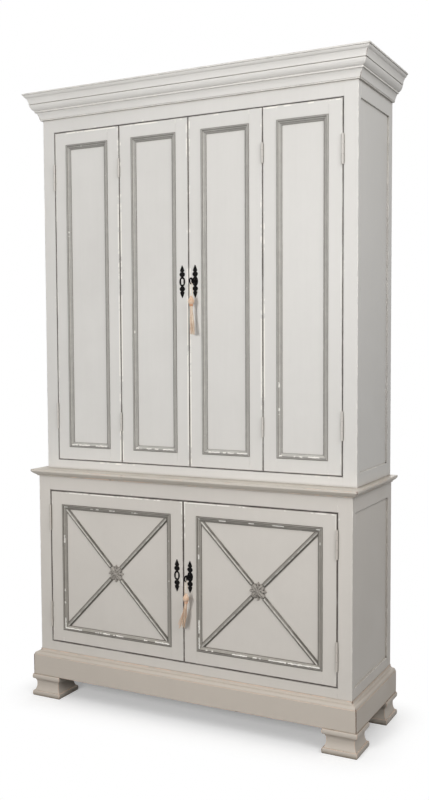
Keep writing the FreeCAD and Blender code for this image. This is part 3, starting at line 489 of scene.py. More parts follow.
def carved_grey(name, tint):
    """Grey paint on the carved rosettes: painted shade in the cuts, rubbed to white on the high
    tips.
    """
    s = Surface(name)
    patch = s.noise(90.0, 4.0, 0.6)
    fine = s.noise(300.0, 4.0, 0.6)
    turned, rounded = s.edges(0.0012)
    open_air = s.hollows(0.007)
    colour = s.mix(s.step(patch, 0.35, 0.65), shade(tint, 0.8), shade(tint, 1.2))
    # Painted shade in the cuts between the leaves.
    colour = s.mix(s.step(open_air, 0.92, 0.45, 0.0, 0.92), colour, shade(tint, *CUT_SHADE_GREY))
    reached = s.add(s.step(turned, 0.01, 0.1), s.times(patch, 1.1))
    tips = s.times(s.step(reached, 1.2, 1.42), s.step(open_air, 0.8, 0.94))
    colour = s.mix(s.times(tips, 0.9), colour, CHIP)
    rough = s.step(patch, 0.2, 0.8, 0.48, 0.62)
    relief = s.add(fine, s.times(tips, -0.6))
    return s.finish(colour, rough, relief, depth=0.0004, strength=0.4, normal=rounded)


# Bare wood, iron and thread

DARK_WOOD = rgb(112, 84, 58)
LIGHT_WOOD = rgb(178, 144, 106)
SEAM = rgb(48, 35, 25)
BLACK_IRON = rgb(5, 4, 4)
BROWN_IRON = rgb(15, 12, 11)
HANDLED_AND_SHINE_IRON = rgb(44, 38, 34)
BLEACHED = rgb(244, 230, 212)


def old_wood(s, planks, across, along):
    """Bare boards, browned with age: seams at each plank's width, grain along another axis."""
    place = s.math("DIVIDE", s.parts(s.where)[across], planks)
    plank = s.math("FLOOR", place)
    tone = s.node("TexWhiteNoise", {"W": plank}, noise_dimensions="1D").outputs["Value"]
    offset = s.node("CombineXYZ", {along: s.times(plank, 7.3)}).outputs[0]
    long = s.stretched(*(1.6 if axis == along else 26.0 for axis in "XYZ"))
    narrow = s.stretched(*(14.0 if axis == along else 520.0 for axis in "XYZ"))
    shifted = s.node("VectorMath", {0: long, 1: offset}, operation="ADD").outputs[0]
    grain = s.noise(1.0, 6.0, 0.62, shifted, 1.4)
    pores = s.noise(1.0, 3.0, 0.6, narrow)
    shares = s.add(s.times(grain, 0.75), s.times(tone, 0.3), s.times(pores, 0.2))
    colour = s.mix(s.step(shares, 0.35, 0.9), DARK_WOOD, LIGHT_WOOD)
    from_middle = s.math("ABSOLUTE", s.math("SUBTRACT", s.math("FRACT", place), 0.5))
    seam = s.step(from_middle, 0.492, 0.499)
    colour = s.mix(seam, colour, SEAM)
    return colour, s.add(s.times(grain, 0.6), s.times(pores, 0.3), s.times(seam, -1.5))


def board(name, tint, hidden_face, planks, across, along):
    """Boards that are painted towards the inside, with bare old wood on the hidden face."""
    s = Surface(name)
    hidden = s.step(s.parts(s.facing)[hidden_face], 0.4, 0.6)
    wood, wood_height = old_wood(s, planks, across, along)
    brush = s.noise(1.0, 3.0, 0.6, s.stretched(70.0, 70.0, 5.0))
    patch = s.noise(9.0, 5.0, 0.6)
    tone = s.step(s.add(s.times(patch, 0.7), s.times(brush, 0.3)), 0.3, 0.7)
    painted = s.mix(tone, shade(tint, 0.87), shade(tint, 1.04))
    # The boards' inside corners darken: partly dirt, partly painted shade.
    painted = s.mix(s.step(s.hollows(0.03), 0.95, 0.4, 0.0, 0.6), painted, DIRT_AND_SHADE)
    colour = s.mix(hidden, painted, wood)
    rough = s.step(patch, 0.2, 0.8, 0.55, 0.75)
    height = s.add(s.times(hidden, wood_height), s.times(brush, 0.4))
    _, rounded = s.edges(0.003)
    return s.finish(colour, rough, height, depth=0.0006, strength=0.45, normal=rounded)


def iron(name):
    """Blackened iron, rough from the casting, with a little lighter brown on the edges: partly
    handling, partly painted shine.
    """
    s = Surface(name)
    grain = s.noise(420.0, 4.0, 0.6)
    patch = s.noise(60.0, 3.0)
    turned, rounded = s.edges(0.0008)
    colour = s.mix(s.step(patch, 0.35, 0.7), BLACK_IRON, BROWN_IRON)
    # Lighter edges: partly wear from handling, partly painted shine.
    colour = s.mix(s.step(turned, 0.03, 0.2, 0.0, 0.3), colour, HANDLED_AND_SHINE_IRON)
    rough = s.step(grain, 0.2, 0.8, 0.5, 0.72)
    relief = s.add(grain, s.times(patch, 0.5))
    return s.finish(
        colour, rough, relief, depth=0.0004, strength=0.5, normal=rounded, specular=0.08,
    )


def thread(name, light, dark, valley_shade):
    """Silky twisted thread: fine strands along the cord, with painted shade where the thread sinks
    in.
    """
    s = Surface(name)
    strands = s.noise(1.0, 3.0, 0.6, s.stretched(900.0, 900.0, 130.0))
    patch = s.noise(70.0, 3.0)
    sunk_shade = s.hollows(0.004)
    colour = s.mix(s.step(strands, 0.3, 0.7), dark, light)
    colour = s.mix(s.step(patch, 0.35, 0.7, 0.0, 0.45), colour, BLEACHED)
    # Painted shade in the hollows between strands and parts.
    colour = s.mix(s.step(sunk_shade, 0.7, 0.15, 0.0, 0.7), colour, valley_shade)
    s.shader.inputs["Sheen Weight"].default_value = 0.3
    s.shader.inputs["Sheen Roughness"].default_value = 0.4
    rough = s.step(strands, 0.2, 0.8, 0.5, 0.75)
    return s.finish(colour, rough, strands, depth=0.0004, strength=0.6, specular=0.3)


# Finishes

UPPER = linear(219, 217, 213)
LOWER = linear(214, 209, 202)
# The crown's tint is the upper paint made lighter: painted light for the brighter crown.
LIT_CROWN = linear(227, 225, 221)
LEDGE = linear(213, 206, 196)
BASE = linear(202, 193, 182)
INSIDE = linear(208, 204, 194)
# The hinges' tints are the case paint made darker: painted shade, so the round knuckles read no
# brighter than the doors.
SHADED_HINGE = linear(206, 202, 196)
SHADED_LOW_HINGE = linear(198, 192, 184)
UPPER_GREY = linear(176, 173, 167)
LOWER_GREY = linear(157, 152, 144)
ROSETTE_GREY = linear(160, 154, 146)
UPPER_DOORS = ("upper_left_outer_door", "upper_right_outer_door")
LOWER_DOORS = ("lower_left_door", "lower_right_door")

upper_paint = paint(
    "upper_paint", UPPER, wear=0.8, gap_edge_shade=0.35, rub=-0.03, reach=0.006, doors=UPPER_DOORS,
)
upper_door_paint = paint(
    "upper_door_paint", UPPER, wear=1.1, gap_edge_shade=0.6, rub=0.09, reach=0.008,
    door="upper_left_outer_door_frame",
)
upper_panel_paint = paint("upper_panel_paint", UPPER, wear=0.2, streak=0.2)
lower_paint = paint(
    "lower_paint", LOWER, wear=0.8, bare=0.03, gap_edge_shade=0.55, rub=-0.07, reach=0.006, doors=LOWER_DOORS,
)
lower_door_paint = paint(
    "lower_door_paint", LOWER, wear=1.1, bare=0.03, gap_edge_shade=0.85, rub=0.06, reach=0.008,
    door="lower_left_door_frame",
)
lower_panel_paint = paint("lower_panel_paint", LOWER, wear=0.2, streak=0.14)
crown_paint = paint(
    "crown_paint", LIT_CROWN, "x", wear=0.9, corner=0.3, glaze_and_shade=0.4, gap_shade=0.4, top_edge_darkening=0.6,
)
waist_paint = paint(
    "waist_paint", LEDGE, "x", under=BLUSH, wear=0.8, bare=0.12, corner=0.4, glaze_and_shade=0.7, grime_and_shade=0.8,
    reach=0.006,
)
plinth_paint = paint(
    "plinth_paint", BASE, "x", under=BLUSH, wear=1.0, bare=0.1, corner=0.5, glaze_and_shade=0.35, grime_and_shade=0.8,
    reach=0.007,
)
foot_paint = paint(
    "foot_paint", BASE, "x", under=BLUSH, wear=1.0, bare=0.06, corner=0.1, glaze_and_shade=0.62, grime_and_shade=0.9,
    gap_shade=0.5, reach=0.006,
)
inside_paint = paint("inside_paint", INSIDE, wear=0.5, grime_and_shade=0.7)
hinge_paint = paint(
    "hinge_paint", SHADED_HINGE, below=SHADED_LOW_HINGE, wear=0.5, bare=0.25, radius=0.0015, reach=0.0025,
    grime_and_shade=1.0,
)
back_board = board("back_board", INSIDE, hidden_face="Y", planks=0.157, across="X", along="Z")
roof_board = board("roof_board", INSIDE, hidden_face="Z", planks=0.094, across="Y", along="X")
iron_black = iron("iron_black")
peach_thread = thread(
    "peach_thread", light=rgb(228, 200, 174), dark=rgb(204, 162, 130), valley_shade=rgb(150, 98, 66),
)
pale_thread = thread(
    "pale_thread", light=rgb(240, 228, 210), dark=rgb(226, 204, 178), valley_shade=rgb(180, 136, 102),
)
rust_thread = thread(
    "rust_thread", light=rgb(222, 168, 128), dark=rgb(196, 136, 98), valley_shade=rgb(140, 84, 54),
)
rosette_grey = carved_grey("rosette_grey", ROSETTE_GREY)
upper_trim = grey_trim(
    "upper_trim", UPPER_GREY, "upper_left_outer_door_moulding",
    chips=(0.1, -0.06, -0.19, -0.16), line_shade=0.55, shaded=0.55,
)
lower_trim = grey_trim(
    "lower_trim", LOWER_GREY, "lower_left_door_moulding",
    chips=(0.1, 0.03, 0.01, -0.1), line_shade=0.85, shaded=0.4,
)


def finish_for(name):
    """The finish of each carried-over node, by the words in its name."""
    upper = name.startswith("upper")
    if "tassel" in name:
        return peach_thread
    if name.endswith(("escutcheon", "key", "lock_case", "lock_bolt")):
        return iron_black
    if name.endswith(("moulding", "rosette")) and "door" in name:
        return upper_trim if upper else lower_trim
    if name.endswith("hinges"):
        return hinge_paint
    if name.endswith("door_frame"):
        return upper_door_paint if upper else lower_door_paint
    if name.endswith("door_panel"):
        return upper_panel_paint if upper else lower_panel_paint
    if name.endswith(("face_frame", "side")):
        return upper_paint if upper else lower_paint
    by_name = {
        "crown_moulding": crown_paint, "waist_moulding": waist_paint,
        "plinth": plinth_paint, "feet": foot_paint,
        "upper_back": back_board, "lower_back": back_board, "upper_roof": roof_board,
    }
    return by_name.get(name, inside_paint)


for name, piece in nodes.items():
    piece.data.materials.clear()
    piece.data.materials.append(finish_for(name))


# Shapes shared by the small pieces

TUBE_END = 0.55


def around(count):
    """Angles of a full turn, in equal steps."""
    return [2 * math.pi * k / count for k in range(count)]


def new_piece(name, data, material, body):
    piece = bpy.data.objects.new(name, data)
    data.materials.append(material)
    scene.collection.objects.link(piece)
    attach(piece, body)
    return piece


def mesh_piece(name, mesh, material, body, sharp=None):
    """A smooth piece from a bmesh, with edges over the sharp angle kept."""
    bmesh.ops.recalc_face_normals(mesh, faces=mesh.faces)
    data = bpy.data.meshes.new(name)
    mesh.to_mesh(data)
    mesh.free()
    for face in data.polygons:
        face.use_smooth = True
    if sharp:
        data.set_sharp_from_angle(angle=math.radians(sharp))
    return new_piece(name, data, material, body)


def bridge_rings(mesh, rings):
    """Faces between neighbouring rings of equal length."""
    sides = len(rings[0])
    for near, far in zip(rings, rings[1:]):
        for k in range(sides):
            ahead = (k + 1) % sides
            mesh.faces.new((near[k], near[ahead], far[ahead], far[k]))


def join_rings(mesh, rings):
    """The same, with both ends closed."""
    bridge_rings(mesh, rings)
    mesh.faces.new(list(reversed(rings[0])))
    mesh.faces.new(rings[-1])


def tube(mesh, line, radii, sides):
    """A closed tube along a line of points, with one radius or one for each point."""
    radii = radii if isinstance(radii, list) else [radii] * len(line)
    ends = (0, len(line) - 1)
    rings = []
    first = None
    for count, point in enumerate(line):
        ahead = (line[min(count + 1, ends[1])] - line[max(count - 1, 0)]).normalized()
        first = ahead.orthogonal() if first is None else first - ahead * first.dot(ahead)
        first.normalize()
        second = ahead.cross(first)
        size = radii[count] * (TUBE_END if count in ends else 1)
        rings.append([
            mesh.verts.new(point + (first * math.cos(a) + second * math.sin(a)) * size)
            for a in around(sides)
        ])
    join_rings(mesh, rings)


def turned(mesh, profile, origin, axis, sides=28, ribs=0, rib_depth=0.0):
    """A body of revolution from (radius, distance along the axis) steps, with shallow ribs."""
    axis = Vector(axis)
    first = axis.orthogonal().normalized()
    second = axis.cross(first)
    rings = []
    for radius, along in profile:
        ring = []
        for a in around(sides):
            r = radius + rib_depth * math.cos(ribs * a)
            out = (first * math.cos(a) + second * math.sin(a)) * r
            ring.append(mesh.verts.new(origin + axis * along + out))
        rings.append(ring)
    join_rings(mesh, rings)


def block(mesh, low, high):
    """A closed box between two corners."""
    made = bmesh.ops.create_cube(mesh, size=1)
    for vertex in made["verts"]:
        for axis in range(3):
            middle, span = (low[axis] + high[axis]) / 2, high[axis] - low[axis]
            vertex.co[axis] = middle + vertex.co[axis] * span


# Tassels

CORD = 0.0024
HEAD = 0.025
GATHER = 0.007
NECK = 0.005
HEAD_RADIUS = 0.0110
GATHER_RADIUS = 0.0026
NECK_RADIUS = 0.0052
WIDEST = 0.6
HEAD_RINGS = 20
STRANDS = 22
STRAND_STEPS = 34
PLY = 0.00092
PLY_PITCH = 0.013
PLY_OFFSET = 0.78 * PLY
HEM_SHARES = (0.7, 1.15)
REACH_SHARES = (0.8, 1.0)
WAVES = (0.0005, 0.0018)
SWAY = 0.35
ANGLE_JITTER = 0.15
GOLDEN_ANGLE = math.pi * (3 - math.sqrt(5))
TIE_TURNS = 5
TIE_STEPS = 24
TIE_WIRE = 0.0009
TASSELS = {
    "upper": {"lean": 0.005, "hem": 0.009, "reach": 1.0, "seed": 5},
    "lower": {"lean": -0.019, "hem": 0.0145, "reach": 0.92, "seed": 8},
}


def make_loop(case):
    """The limp cord folded over the key's bow, both ends sewn into the tassel's head."""
    low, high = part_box(f"{case}_tassel_loop")
    x, y = (low.x + high.x) / 2, (low.y + high.y) / 2
    fold = (high.x - low.x - CORD) / 2
    top = high.z - CORD / 2
    side = [
        (fold * 1.55, low.z), (fold * 1.5, top - fold - 7 * CORD), (fold * 1.27, top + 0.0002),
    ]
    route = [(x - across, y, z) for across, z in side]
    route += [(x + across, y, z) for across, z in reversed(side)]
    curve = bpy.data.curves.new(f"{case}_loop_cord", "CURVE")
    curve.dimensions = "3D"
    curve.bevel_depth = CORD / 2
    curve.bevel_resolution = 4
    curve.resolution_u = 12
    spline = curve.splines.new("NURBS")
    spline.points.add(len(route) - 1)
    for point, place in zip(spline.points, route):
        point.co = (*place, 1)
    spline.order_u = 3
    spline.use_endpoint_u = True
    piece = new_piece(
        f"{case}_loop_cord", curve, pale_thread, f"{case}_tassel",
    )
    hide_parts(f"{case}_tassel_loop")


def tassel_strand(mesh, rng, start, ring, angle, hem, length, lean):
    """One loose two-ply strand of the skirt, from the neck to the hem."""
    hem *= ring * rng.uniform(*HEM_SHARES)
    reach = length * rng.uniform(*REACH_SHARES)
    wave, phase = rng.uniform(*WAVES), rng.uniform(0, 2 * math.pi)
    plies = [[], []]
    for k in range(STRAND_STEPS + 1):
        t = k / STRAND_STEPS
        spread = NECK_RADIUS * 0.8 * ring * (1 - t) + hem * t ** 1.4
        a = angle + SWAY * t * math.sin(phase)
        middle = start + Vector((
            spread * math.cos(a) + lean * t ** 1.25 + wave * math.sin(9 * t + phase) * t ** 0.5,
            spread * math.sin(a) + wave * math.cos(8 * t + phase) * t ** 0.5,
            -reach * t,
        ))
        twist = 2 * math.pi * reach * t / PLY_PITCH + phase
        for line, side in zip(plies, (twist, twist + math.pi)):
            line.append(middle + PLY_OFFSET * Vector((math.cos(side), math.sin(side), 0)))
    for line in plies:
        tube(mesh, line, PLY, 5)


def head_radius(t):
    """Radius of the pear-shaped head, from the gathered top at 0 to the neck at 1."""
    quarter = math.pi / 2
    if t < WIDEST:
        swell = math.sin(quarter * t / WIDEST) ** 1.3
        return GATHER_RADIUS + (HEAD_RADIUS - GATHER_RADIUS) * swell
    swell = math.cos(quarter * (t - WIDEST) / (1 - WIDEST)) ** 0.8
    return NECK_RADIUS + (HEAD_RADIUS - NECK_RADIUS) * swell


def make_tassel(case, lean, hem, reach, seed):
    """Pear-shaped ribbed head, a wound tie at its neck and a skirt of strands in two colours."""
    rng = random.Random(seed)
    low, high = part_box(f"{case}_tassel")
    top = Vector(((low.x + high.x) / 2, (low.y + high.y) / 2, high.z))
    peach, pale, tie = bmesh.new(), bmesh.new(), bmesh.new()
    shares = [count / (HEAD_RINGS - 1) for count in range(HEAD_RINGS)]
    profile = [(head_radius(t), (HEAD + GATHER) * t - GATHER) for t in shares]
    profile.append((NECK_RADIUS * 0.9, HEAD + NECK))
    turned(peach, profile, top, (0, 0, -1), sides=120, ribs=24, rib_depth=0.0004)

    start = top - Vector((0, 0, HEAD + NECK / 2))
    length = (high.z - low.z - HEAD - NECK) * reach
    for count in range(STRANDS):
        ring = 0.2 + 0.8 * math.sqrt((count + 0.5) / STRANDS)
        angle = count * GOLDEN_ANGLE + rng.uniform(-ANGLE_JITTER, ANGLE_JITTER)
        colour = peach if rng.random() < 0.5 else pale
        tassel_strand(colour, rng, start, ring, angle, hem, length, lean)

    winding = []
    radius = NECK_RADIUS + TIE_WIRE
    for k in range(TIE_TURNS * TIE_STEPS + 1):
        a = 2 * math.pi * k / TIE_STEPS
        drop = HEAD - TIE_WIRE + NECK * k / (TIE_TURNS * TIE_STEPS)
        winding.append(top + Vector((radius * math.cos(a), radius * math.sin(a), -drop)))
    tube(tie, winding, TIE_WIRE, 8)

    body, slot = f"{case}_tassel", "tassel_thread"
    piece = mesh_piece(f"{case}_tassel_threads", peach, peach_thread, body)
    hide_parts(f"{case}_tassel")
    mesh_piece(f"{case}_tassel_pale", pale, pale_thread, body)
    mesh_piece(f"{case}_tassel_tie", tie, rust_thread, body)


for case, settings in TASSELS.items():
    make_loop(case)
    make_tassel(case, **settings)


# Rosettes

QUARTER, EIGHTH = math.pi / 2, math.pi / 4
GROUND = 0.0022
BROAD_LEAF = {"widest": 0.0118, "rise": 0.0064, "vein": 0.0016}
NARROW_LEAF = {"widest": 0.0052, "rise": 0.0060, "vein": 0.0014}
PETAL = {"widest": 0.0042, "rise": 0.0042, "vein": 0.001}
PETAL_BASE = 0.0066
BUD = 0.0042
BUD_BASE = 0.0045
BUD_PLACE = 0.86
BOSS = 0.0058
BOSS_BASE = 0.0085
BOSS_RISE = 0.85
VEIN_WIDTH = 0.0008
SCALLOPS = 1150
SCALLOP_DEPTH = 0.08
NOTCH = 0.70
BROAD_TIP = 0.97
ROUNDED_RIM = 0.93
ROSETTE_RINGS = 52
ROSETTE_SIDES = 264


def off_axis(angle, first, apart):
    """Angle to the nearest of the axes that start at first and repeat each apart."""
    return abs((angle - first + apart / 2) % apart - apart / 2)


def leaf(r, off, start, end, widest, rise, vein):
    """Height of one veined leaf over its ground, at a radius and an angle off its middle line."""
    if not start < r < end:
        return 0
    t = (r - start) / (end - start)
    scalloped = 1 + SCALLOP_DEPTH * math.sin(r * SCALLOPS)
    half = widest * math.sin(math.pi * (0.2 + 0.74 * t)) * scalloped
    aside = r * math.sin(off)
    if aside >= half:
        return 0
    crown = rise * math.sin(math.pi * (0.25 + 0.6 * t)) * math.sqrt(1 - (aside / half) ** 2)
    return crown - vein * math.exp(-(aside / VEIN_WIDTH) ** 2)


def rosette_height(r, angle, size):
    """Relief of the flower: broad leaves, narrow budded ones, a ring of short petals and a boss."""
    broad, narrow = off_axis(angle, EIGHTH, QUARTER), off_axis(angle, 0, QUARTER)
    height = GROUND + max(
        leaf(r, broad, 0.1 * size, size, **BROAD_LEAF),
        leaf(r, narrow, 0.15 * size, size, **NARROW_LEAF),
    )
    along, aside = r * math.cos(narrow) - BUD_PLACE * size, r * math.sin(narrow)
    if along ** 2 + aside ** 2 < BUD ** 2:
        height = max(height, BUD_BASE + math.sqrt(BUD ** 2 - along ** 2 - aside ** 2))
    petal = leaf(r, off_axis(angle, EIGHTH / 2, EIGHTH), 0.08 * size, 0.52 * size, **PETAL)
    if petal > 0:
        height = max(height, PETAL_BASE + petal)
    if r < BOSS:
        height = max(height, BOSS_BASE + BOSS_RISE * math.sqrt(BOSS ** 2 - r * r))
    return height


def rosette_edge(angle, size):
    """Outline of the flower: broad leaves on the cross's arms, narrow ones between, and notches."""
    broad = max(0, 1 - (off_axis(angle, EIGHTH, QUARTER) / 0.5) ** 2)
    narrow = max(0, 1 - (off_axis(angle, 0, QUARTER) / 0.18) ** 2)
    return size * max(
        NOTCH + (BROAD_TIP - NOTCH) * math.sqrt(broad), NOTCH + (1 - NOTCH) * math.sqrt(narrow),
    )


def make_rosette(door):
    """A carved flower on the middle of a door's cross."""
    low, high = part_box(f"{door}_rosette")
    middle = (low + high) / 2
    size = (high.x - low.x) / 2
    mesh = bmesh.new()

    def point(angle, r, height):
        x, z = middle.x + r * math.cos(angle), middle.z + r * math.sin(angle)
        return mesh.verts.new((x, high.y - height, z))

    edge = [(a, rosette_edge(a, size)) for a in around(ROSETTE_SIDES)]
    grid = []
    for j in range(1, ROSETTE_RINGS + 1):
        share = j / ROSETTE_RINGS
        fall = 1 - 0.4 * max(0, (share - ROUNDED_RIM) / 0.07) ** 2
        grid.append([
            point(a, share * r, rosette_height(share * r, a, size) * fall) for a, r in edge
        ])
    grid.append([point(a, r, 0) for a, r in edge])
    top = point(0, 0, rosette_height(0, 0, size))
    for k in range(ROSETTE_SIDES):
        mesh.faces.new((top, grid[0][(k + 1) % ROSETTE_SIDES], grid[0][k]))
    bridge_rings(mesh, grid)
    mesh.faces.new(grid[-1])
    piece = mesh_piece(f"{door}_flower", mesh, rosette_grey, door, sharp=50)
    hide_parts(f"{door}_rosette")


for door in LOWER_DOORS:
    make_rosette(door)


# Escutcheons

HOLE_RADIUS = 0.005
HOLE_HALF = 0.011
HOLE_RING = 0.002
PLATE_EDGE = 0.0011
PLATE_RISE = 0.0013
PLATE_ROWS = 200
PLATE_COLUMNS = 10
SPEAR_ROOT = 0.68
SPEAR_LENGTH = 0.32
SPEAR_WIDTH = 0.74
STEM_WIDTH = 0.38
SHADE_DISC_SIZE = 1.02
SHADE_DISC_SIDES = 48
MERGE = 1e-6


def plate_half_width(t):
    """Half width of an escutcheon at a share of its half height: ring, lobe and spear on a stem."""
    def lobe(middle, half, wide):
        return wide * math.sqrt(max(0, 1 - ((t - middle) / half) ** 2))

    stem = STEM_WIDTH if t < SPEAR_ROOT else 0
    spear = lobe(SPEAR_ROOT, 0.11, SPEAR_WIDTH)
    if t > SPEAR_ROOT:
        spear = SPEAR_WIDTH * (1 - (t - SPEAR_ROOT) / SPEAR_LENGTH) ** 0.85
    return max(lobe(0, 0.3, 1.0), lobe(0.44, 0.155, 0.92), spear, stem)


def hole_half_width(z):
    """Half width of the long round-ended keyhole at a height from its middle."""
    past = max(0, abs(z) - (HOLE_HALF - HOLE_RADIUS))
    return math.sqrt(max(0, HOLE_RADIUS * HOLE_RADIUS - past * past))


def plate_half(mesh, side, middle, back_y, wide, tall):
    """One half of a plate, left or right: its domed front, its flat back, and the walls between."""
    front, back, holed = [], [], []
    for j in range(PLATE_ROWS + 1):
        z = tall * (2 * j / PLATE_ROWS - 1)
        outer = wide * plate_half_width(abs(z) / tall)
        inner = min(hole_half_width(z), outer)
        ringed = min(1, inner / HOLE_RING)
        holed.append(inner > 0)
        front_row, back_row = [], []
        for k in range(PLATE_COLUMNS + 1):
            q = k / PLATE_COLUMNS
            dome = ringed * math.sqrt(1 - (2 * q - 1) ** 2) + (1 - ringed) * math.sqrt(1 - q * q)
            x = middle.x + side * (inner + (outer - inner) * q)
            front_y = back_y - PLATE_EDGE - PLATE_RISE * dome
            front_row.append(mesh.verts.new((x, front_y, middle.z + z)))
            back_row.append(mesh.verts.new((x, back_y, middle.z + z)))
        front.append(front_row)
        back.append(back_row)
    for j in range(PLATE_ROWS):
        for k in range(PLATE_COLUMNS):
            for sheet in (front, back):
                near, far = sheet[j], sheet[j + 1]
                mesh.faces.new((near[k], near[k + 1], far[k + 1], far[k]))
        walls = [PLATE_COLUMNS] + ([0] if holed[j] or holed[j + 1] else [])
        for k in walls:
            mesh.faces.new((front[j][k], front[j + 1][k], back[j + 1][k], back[j][k]))


def make_escutcheon(door, hole_shaded):
    """A cast plate, domed over its lobes, with a raised ring about the keyhole.

    Behind the key, a black disc fills the hole as painted shade, given as the lock's own plate.
    """
    low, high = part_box(f"{door}_escutcheon")
    middle = (low + high) / 2
    wide, tall = (high.x - low.x) / 2, (high.z - low.z) / 2
    mesh = bmesh.new()
    for side in (-1, 1):
        plate_half(mesh, side, middle, high.y, wide, tall)
    bmesh.ops.remove_doubles(mesh, verts=mesh.verts, dist=MERGE)
    bmesh.ops.dissolve_degenerate(mesh, edges=mesh.edges, dist=MERGE)
    # Painted shade: a black disc in the keyhole, where the hole into the lock would be dark.
    if hole_shaded:
        rings = []
        for y in (high.y, high.y - PLATE_EDGE / 2):
            ring = []
            for a in around(SHADE_DISC_SIDES):
                x, z = SHADE_DISC_SIZE * HOLE_RADIUS * math.cos(a), SHADE_DISC_SIZE * HOLE_HALF * math.sin(a)
                ring.append(mesh.verts.new((middle.x + x, y, middle.z + z)))
            rings.append(ring)
        join_rings(mesh, rings)
    piece = mesh_piece(f"{door}_plate", mesh, iron_black, door, sharp=35)
    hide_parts(f"{door}_escutcheon")


for case, kind in (("upper", "inner_door"), ("lower", "door")):
    make_escutcheon(f"{case}_left_{kind}", False)
    make_escutcheon(f"{case}_right_{kind}", True)


# Keys

DOOR_THICKNESS = 0.025
KEY_TIP = 0.011
COLLAR_OFFSET = 0.010
SHANK = 0.003
BEAD = 0.0044
COLLAR = 0.0046
THIN_BOW = 0.0018
THICK_BOW = 0.0028
BOW_STEPS = 64
SCROLL = 0.0044
SCROLL_WIRE = 0.0012
SCROLL_STEPS = 32
BLADE = 0.0012
BIT = 0.006
WARDS = ((0.0060, 0.0042), (0.0034, 0.0024), (0.0016, 0.0))


def make_key(case):
    """A key with a ring bow, two scrolls at its root, turned collars, a shank and a notched bit."""
    low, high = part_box(f"{case}_key")
    x, z = (low.x + high.x) / 2, (low.z + high.z) / 2
    outer = (high.z - low.z) / 2
    bow = Vector((x, low.y + outer, z))
    mesh = bmesh.new()
    ring, radii = [], []
    for a in [*around(BOW_STEPS), 2 * math.pi]:
        radius = THIN_BOW + (THICK_BOW - THIN_BOW) * (0.5 + 0.5 * math.sin(a)) ** 0.7
        ring.append(bow + (outer - radius) * Vector((0, math.cos(a), math.sin(a))))
        radii.append(radius)
    tube(mesh, ring, radii, 14)
    for sign in (-1, 1):
        scroll = []
        for k in range(SCROLL_STEPS + 1):
            a = sign * math.pi * (0.05 + 1.45 * k / SCROLL_STEPS)
            r = SCROLL * (1 - 0.45 * k / SCROLL_STEPS)
            place = Vector((0, 0.0048 + r * math.cos(a), sign * 0.0036 + r * math.sin(a)))
            scroll.append(bow + place)
        tube(mesh, scroll, SCROLL_WIRE, 8)
    start = bow.y + outer - 2 * THIN_BOW
    end = high.y - start
    collar = end - KEY_TIP - DOOR_THICKNESS - COLLAR_OFFSET
    shank = [
        (SHANK, 0.0), (SHANK, 0.0015), (0.0042, 0.0022), (BEAD, 0.0034), (SHANK, 0.0042),
        (SHANK, collar - 0.0004), (BEAD, collar), (COLLAR, collar + 0.0012),
        (0.0038, collar + 0.0018), (COLLAR, collar + 0.0026), (BEAD, collar + 0.0040),
        (SHANK, collar + 0.0044), (SHANK, end - 0.0006), (0.0023, end),
    ]
    turned(mesh, shank, Vector((x, start, z)), (0, 1, 0))
    for near, far in WARDS:
        block(mesh, (x - BLADE, high.y - near, z - 0.009), (x + BLADE, high.y - far, z - 0.002))
    block(mesh, (x - BLADE, high.y - BIT, z - 0.0055), (x + BLADE, high.y, z - 0.0018))
    piece = mesh_piece(f"{case}_iron_key", mesh, iron_black, f"{case}_key", sharp=40)
    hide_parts(f"{case}_key")


for case in ("upper", "lower"):
    make_key(case)


# Stage

FOOTPRINT = (0.6, 0.16, 0.0)
SHADOW_REACH = 0.24
FLOOR_REACH = 30
FLOOR_BOUNCE = 0.22
FLOOR_SEEN = 0.86
FLOOR_GLOW = 0.26
WORLD_SPAN = (-0.3, 0.7)
WORLD_LIGHT = (0.04, 0.36)
LAMPS = {
    "key": {"place": (-0.3, -4.5, 2.2), "target": (0.0, -0.1, 1.4), "size": 1.2, "power": 107},
    "fill": {"place": (2.8, -1.7, 2.9), "target": (0.6, 0.0, 2.0), "size": 2.2, "power": 54},
    "rear": {"place": (-1.2, 4.6, 2.8), "target": (0.0, 0.2, 1.3), "size": 2.4, "power": 60},
}


def seen_rays(tree):
    """One for the rays that show the background: the camera's, mirrored and through glass."""
    light = tree.nodes.new("ShaderNodeLightPath")
    total = light.outputs["Is Camera Ray"]
    for name in ("Is Glossy Ray", "Is Transmission Ray"):
        more = tree.nodes.new("ShaderNodeMath")
        more.operation = "MAXIMUM"
        tree.links.new(total, more.inputs[0])
        tree.links.new(light.outputs[name], more.inputs[1])
        total = more.outputs[0]
    return total


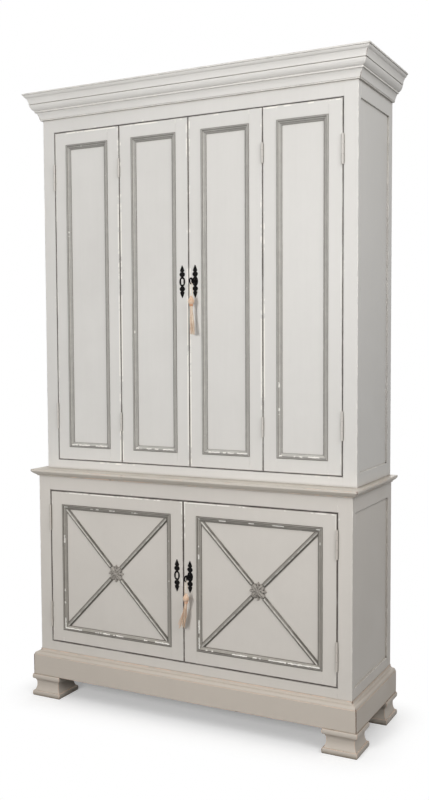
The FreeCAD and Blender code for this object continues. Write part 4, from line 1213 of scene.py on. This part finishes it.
def make_stage():
    """A pale floor that keeps the cupboard's soft shadow and runs to plain white away from it."""
    signs = ((-1, -1), (1, -1), (1, 1), (-1, 1))
    corners = [(x * FLOOR_REACH, y * FLOOR_REACH, 0) for x, y in signs]
    data = bpy.data.meshes.new("floor")
    data.from_pydata(corners, [], [(0, 1, 2, 3)])
    floor = bpy.data.objects.new("floor", data)
    scene.collection.objects.link(floor)
    s = Surface("floor_white")
    seen = seen_rays(s.tree)
    low = tuple(-side for side in FOOTPRINT)
    held = s.node("VectorMath", {0: s.where, 1: FOOTPRINT}, operation="MINIMUM").outputs[0]
    nearest = s.node("VectorMath", {0: held, 1: low}, operation="MAXIMUM").outputs[0]
    away = s.node("VectorMath", {0: s.where, 1: nearest}, operation="DISTANCE").outputs["Value"]
    far = s.times(s.step(away, 0.0, SHADOW_REACH), seen)
    speckle = s.about(s.noise(40.0, 3.0), 0.02)
    pale = s.add(s.step(seen, 0.0, 1.0, FLOOR_BOUNCE, FLOOR_SEEN), speckle)
    colour = s.node("CombineColor", {0: pale, 1: pale, 2: pale}).outputs[0]
    diffuse = s.node("BsdfDiffuse", {"Color": colour}).outputs[0]
    glow = s.node("Emission", {"Strength": s.times(seen, FLOOR_GLOW)}).outputs[0]
    near = s.node("AddShader", {0: diffuse, 1: glow}).outputs[0]
    white = s.node("Emission", {"Strength": 1.0}).outputs[0]
    shown = s.node("MixShader", {0: far, 1: near, 2: white}).outputs[0]
    s.tree.links.new(shown, s.tree.nodes["Material Output"].inputs["Surface"])
    data.materials.append(s.material)


def make_world():
    """A white background, and soft light that is stronger from above."""
    world = bpy.data.worlds.new("studio")
    scene.world = world
    world.use_nodes = True
    tree = world.node_tree
    tree.nodes.clear()
    output = tree.nodes.new("ShaderNodeOutputWorld")
    back = tree.nodes.new("ShaderNodeBackground")
    back.inputs["Color"].default_value = (1, 1, 1, 1)
    place = tree.nodes.new("ShaderNodeTexCoord")
    split = tree.nodes.new("ShaderNodeSeparateXYZ")
    tree.links.new(place.outputs["Generated"], split.inputs[0])
    soft = tree.nodes.new("ShaderNodeMapRange")
    limits = ("From Min", "From Max", "To Min", "To Max")
    for name, value in zip(limits, WORLD_SPAN + WORLD_LIGHT):
        soft.inputs[name].default_value = value
    tree.links.new(split.outputs["Z"], soft.inputs["Value"])
    strength = tree.nodes.new("ShaderNodeMapRange")
    strength.inputs["To Max"].default_value = 1
    tree.links.new(soft.outputs[0], strength.inputs["To Min"])
    tree.links.new(seen_rays(tree), strength.inputs["Value"])
    tree.links.new(strength.outputs[0], back.inputs["Strength"])
    tree.links.new(back.outputs[0], output.inputs["Surface"])


def lamp(name, place, target, size, power):
    """A round soft lamp aimed at a point."""
    data = bpy.data.lights.new(name, "AREA")
    data.shape = "DISK"
    data.size = size
    data.energy = power
    piece = bpy.data.objects.new(name, data)
    place = Vector(place)
    turn = (Vector(target) - place).to_track_quat("-Z", "Y").to_matrix().to_4x4()
    piece.matrix_world = Matrix.Translation(place) @ turn
    scene.collection.objects.link(piece)


make_stage()
make_world()
for name, settings in LAMPS.items():
    lamp(name, **settings)
scene.view_settings.view_transform = "Standard"
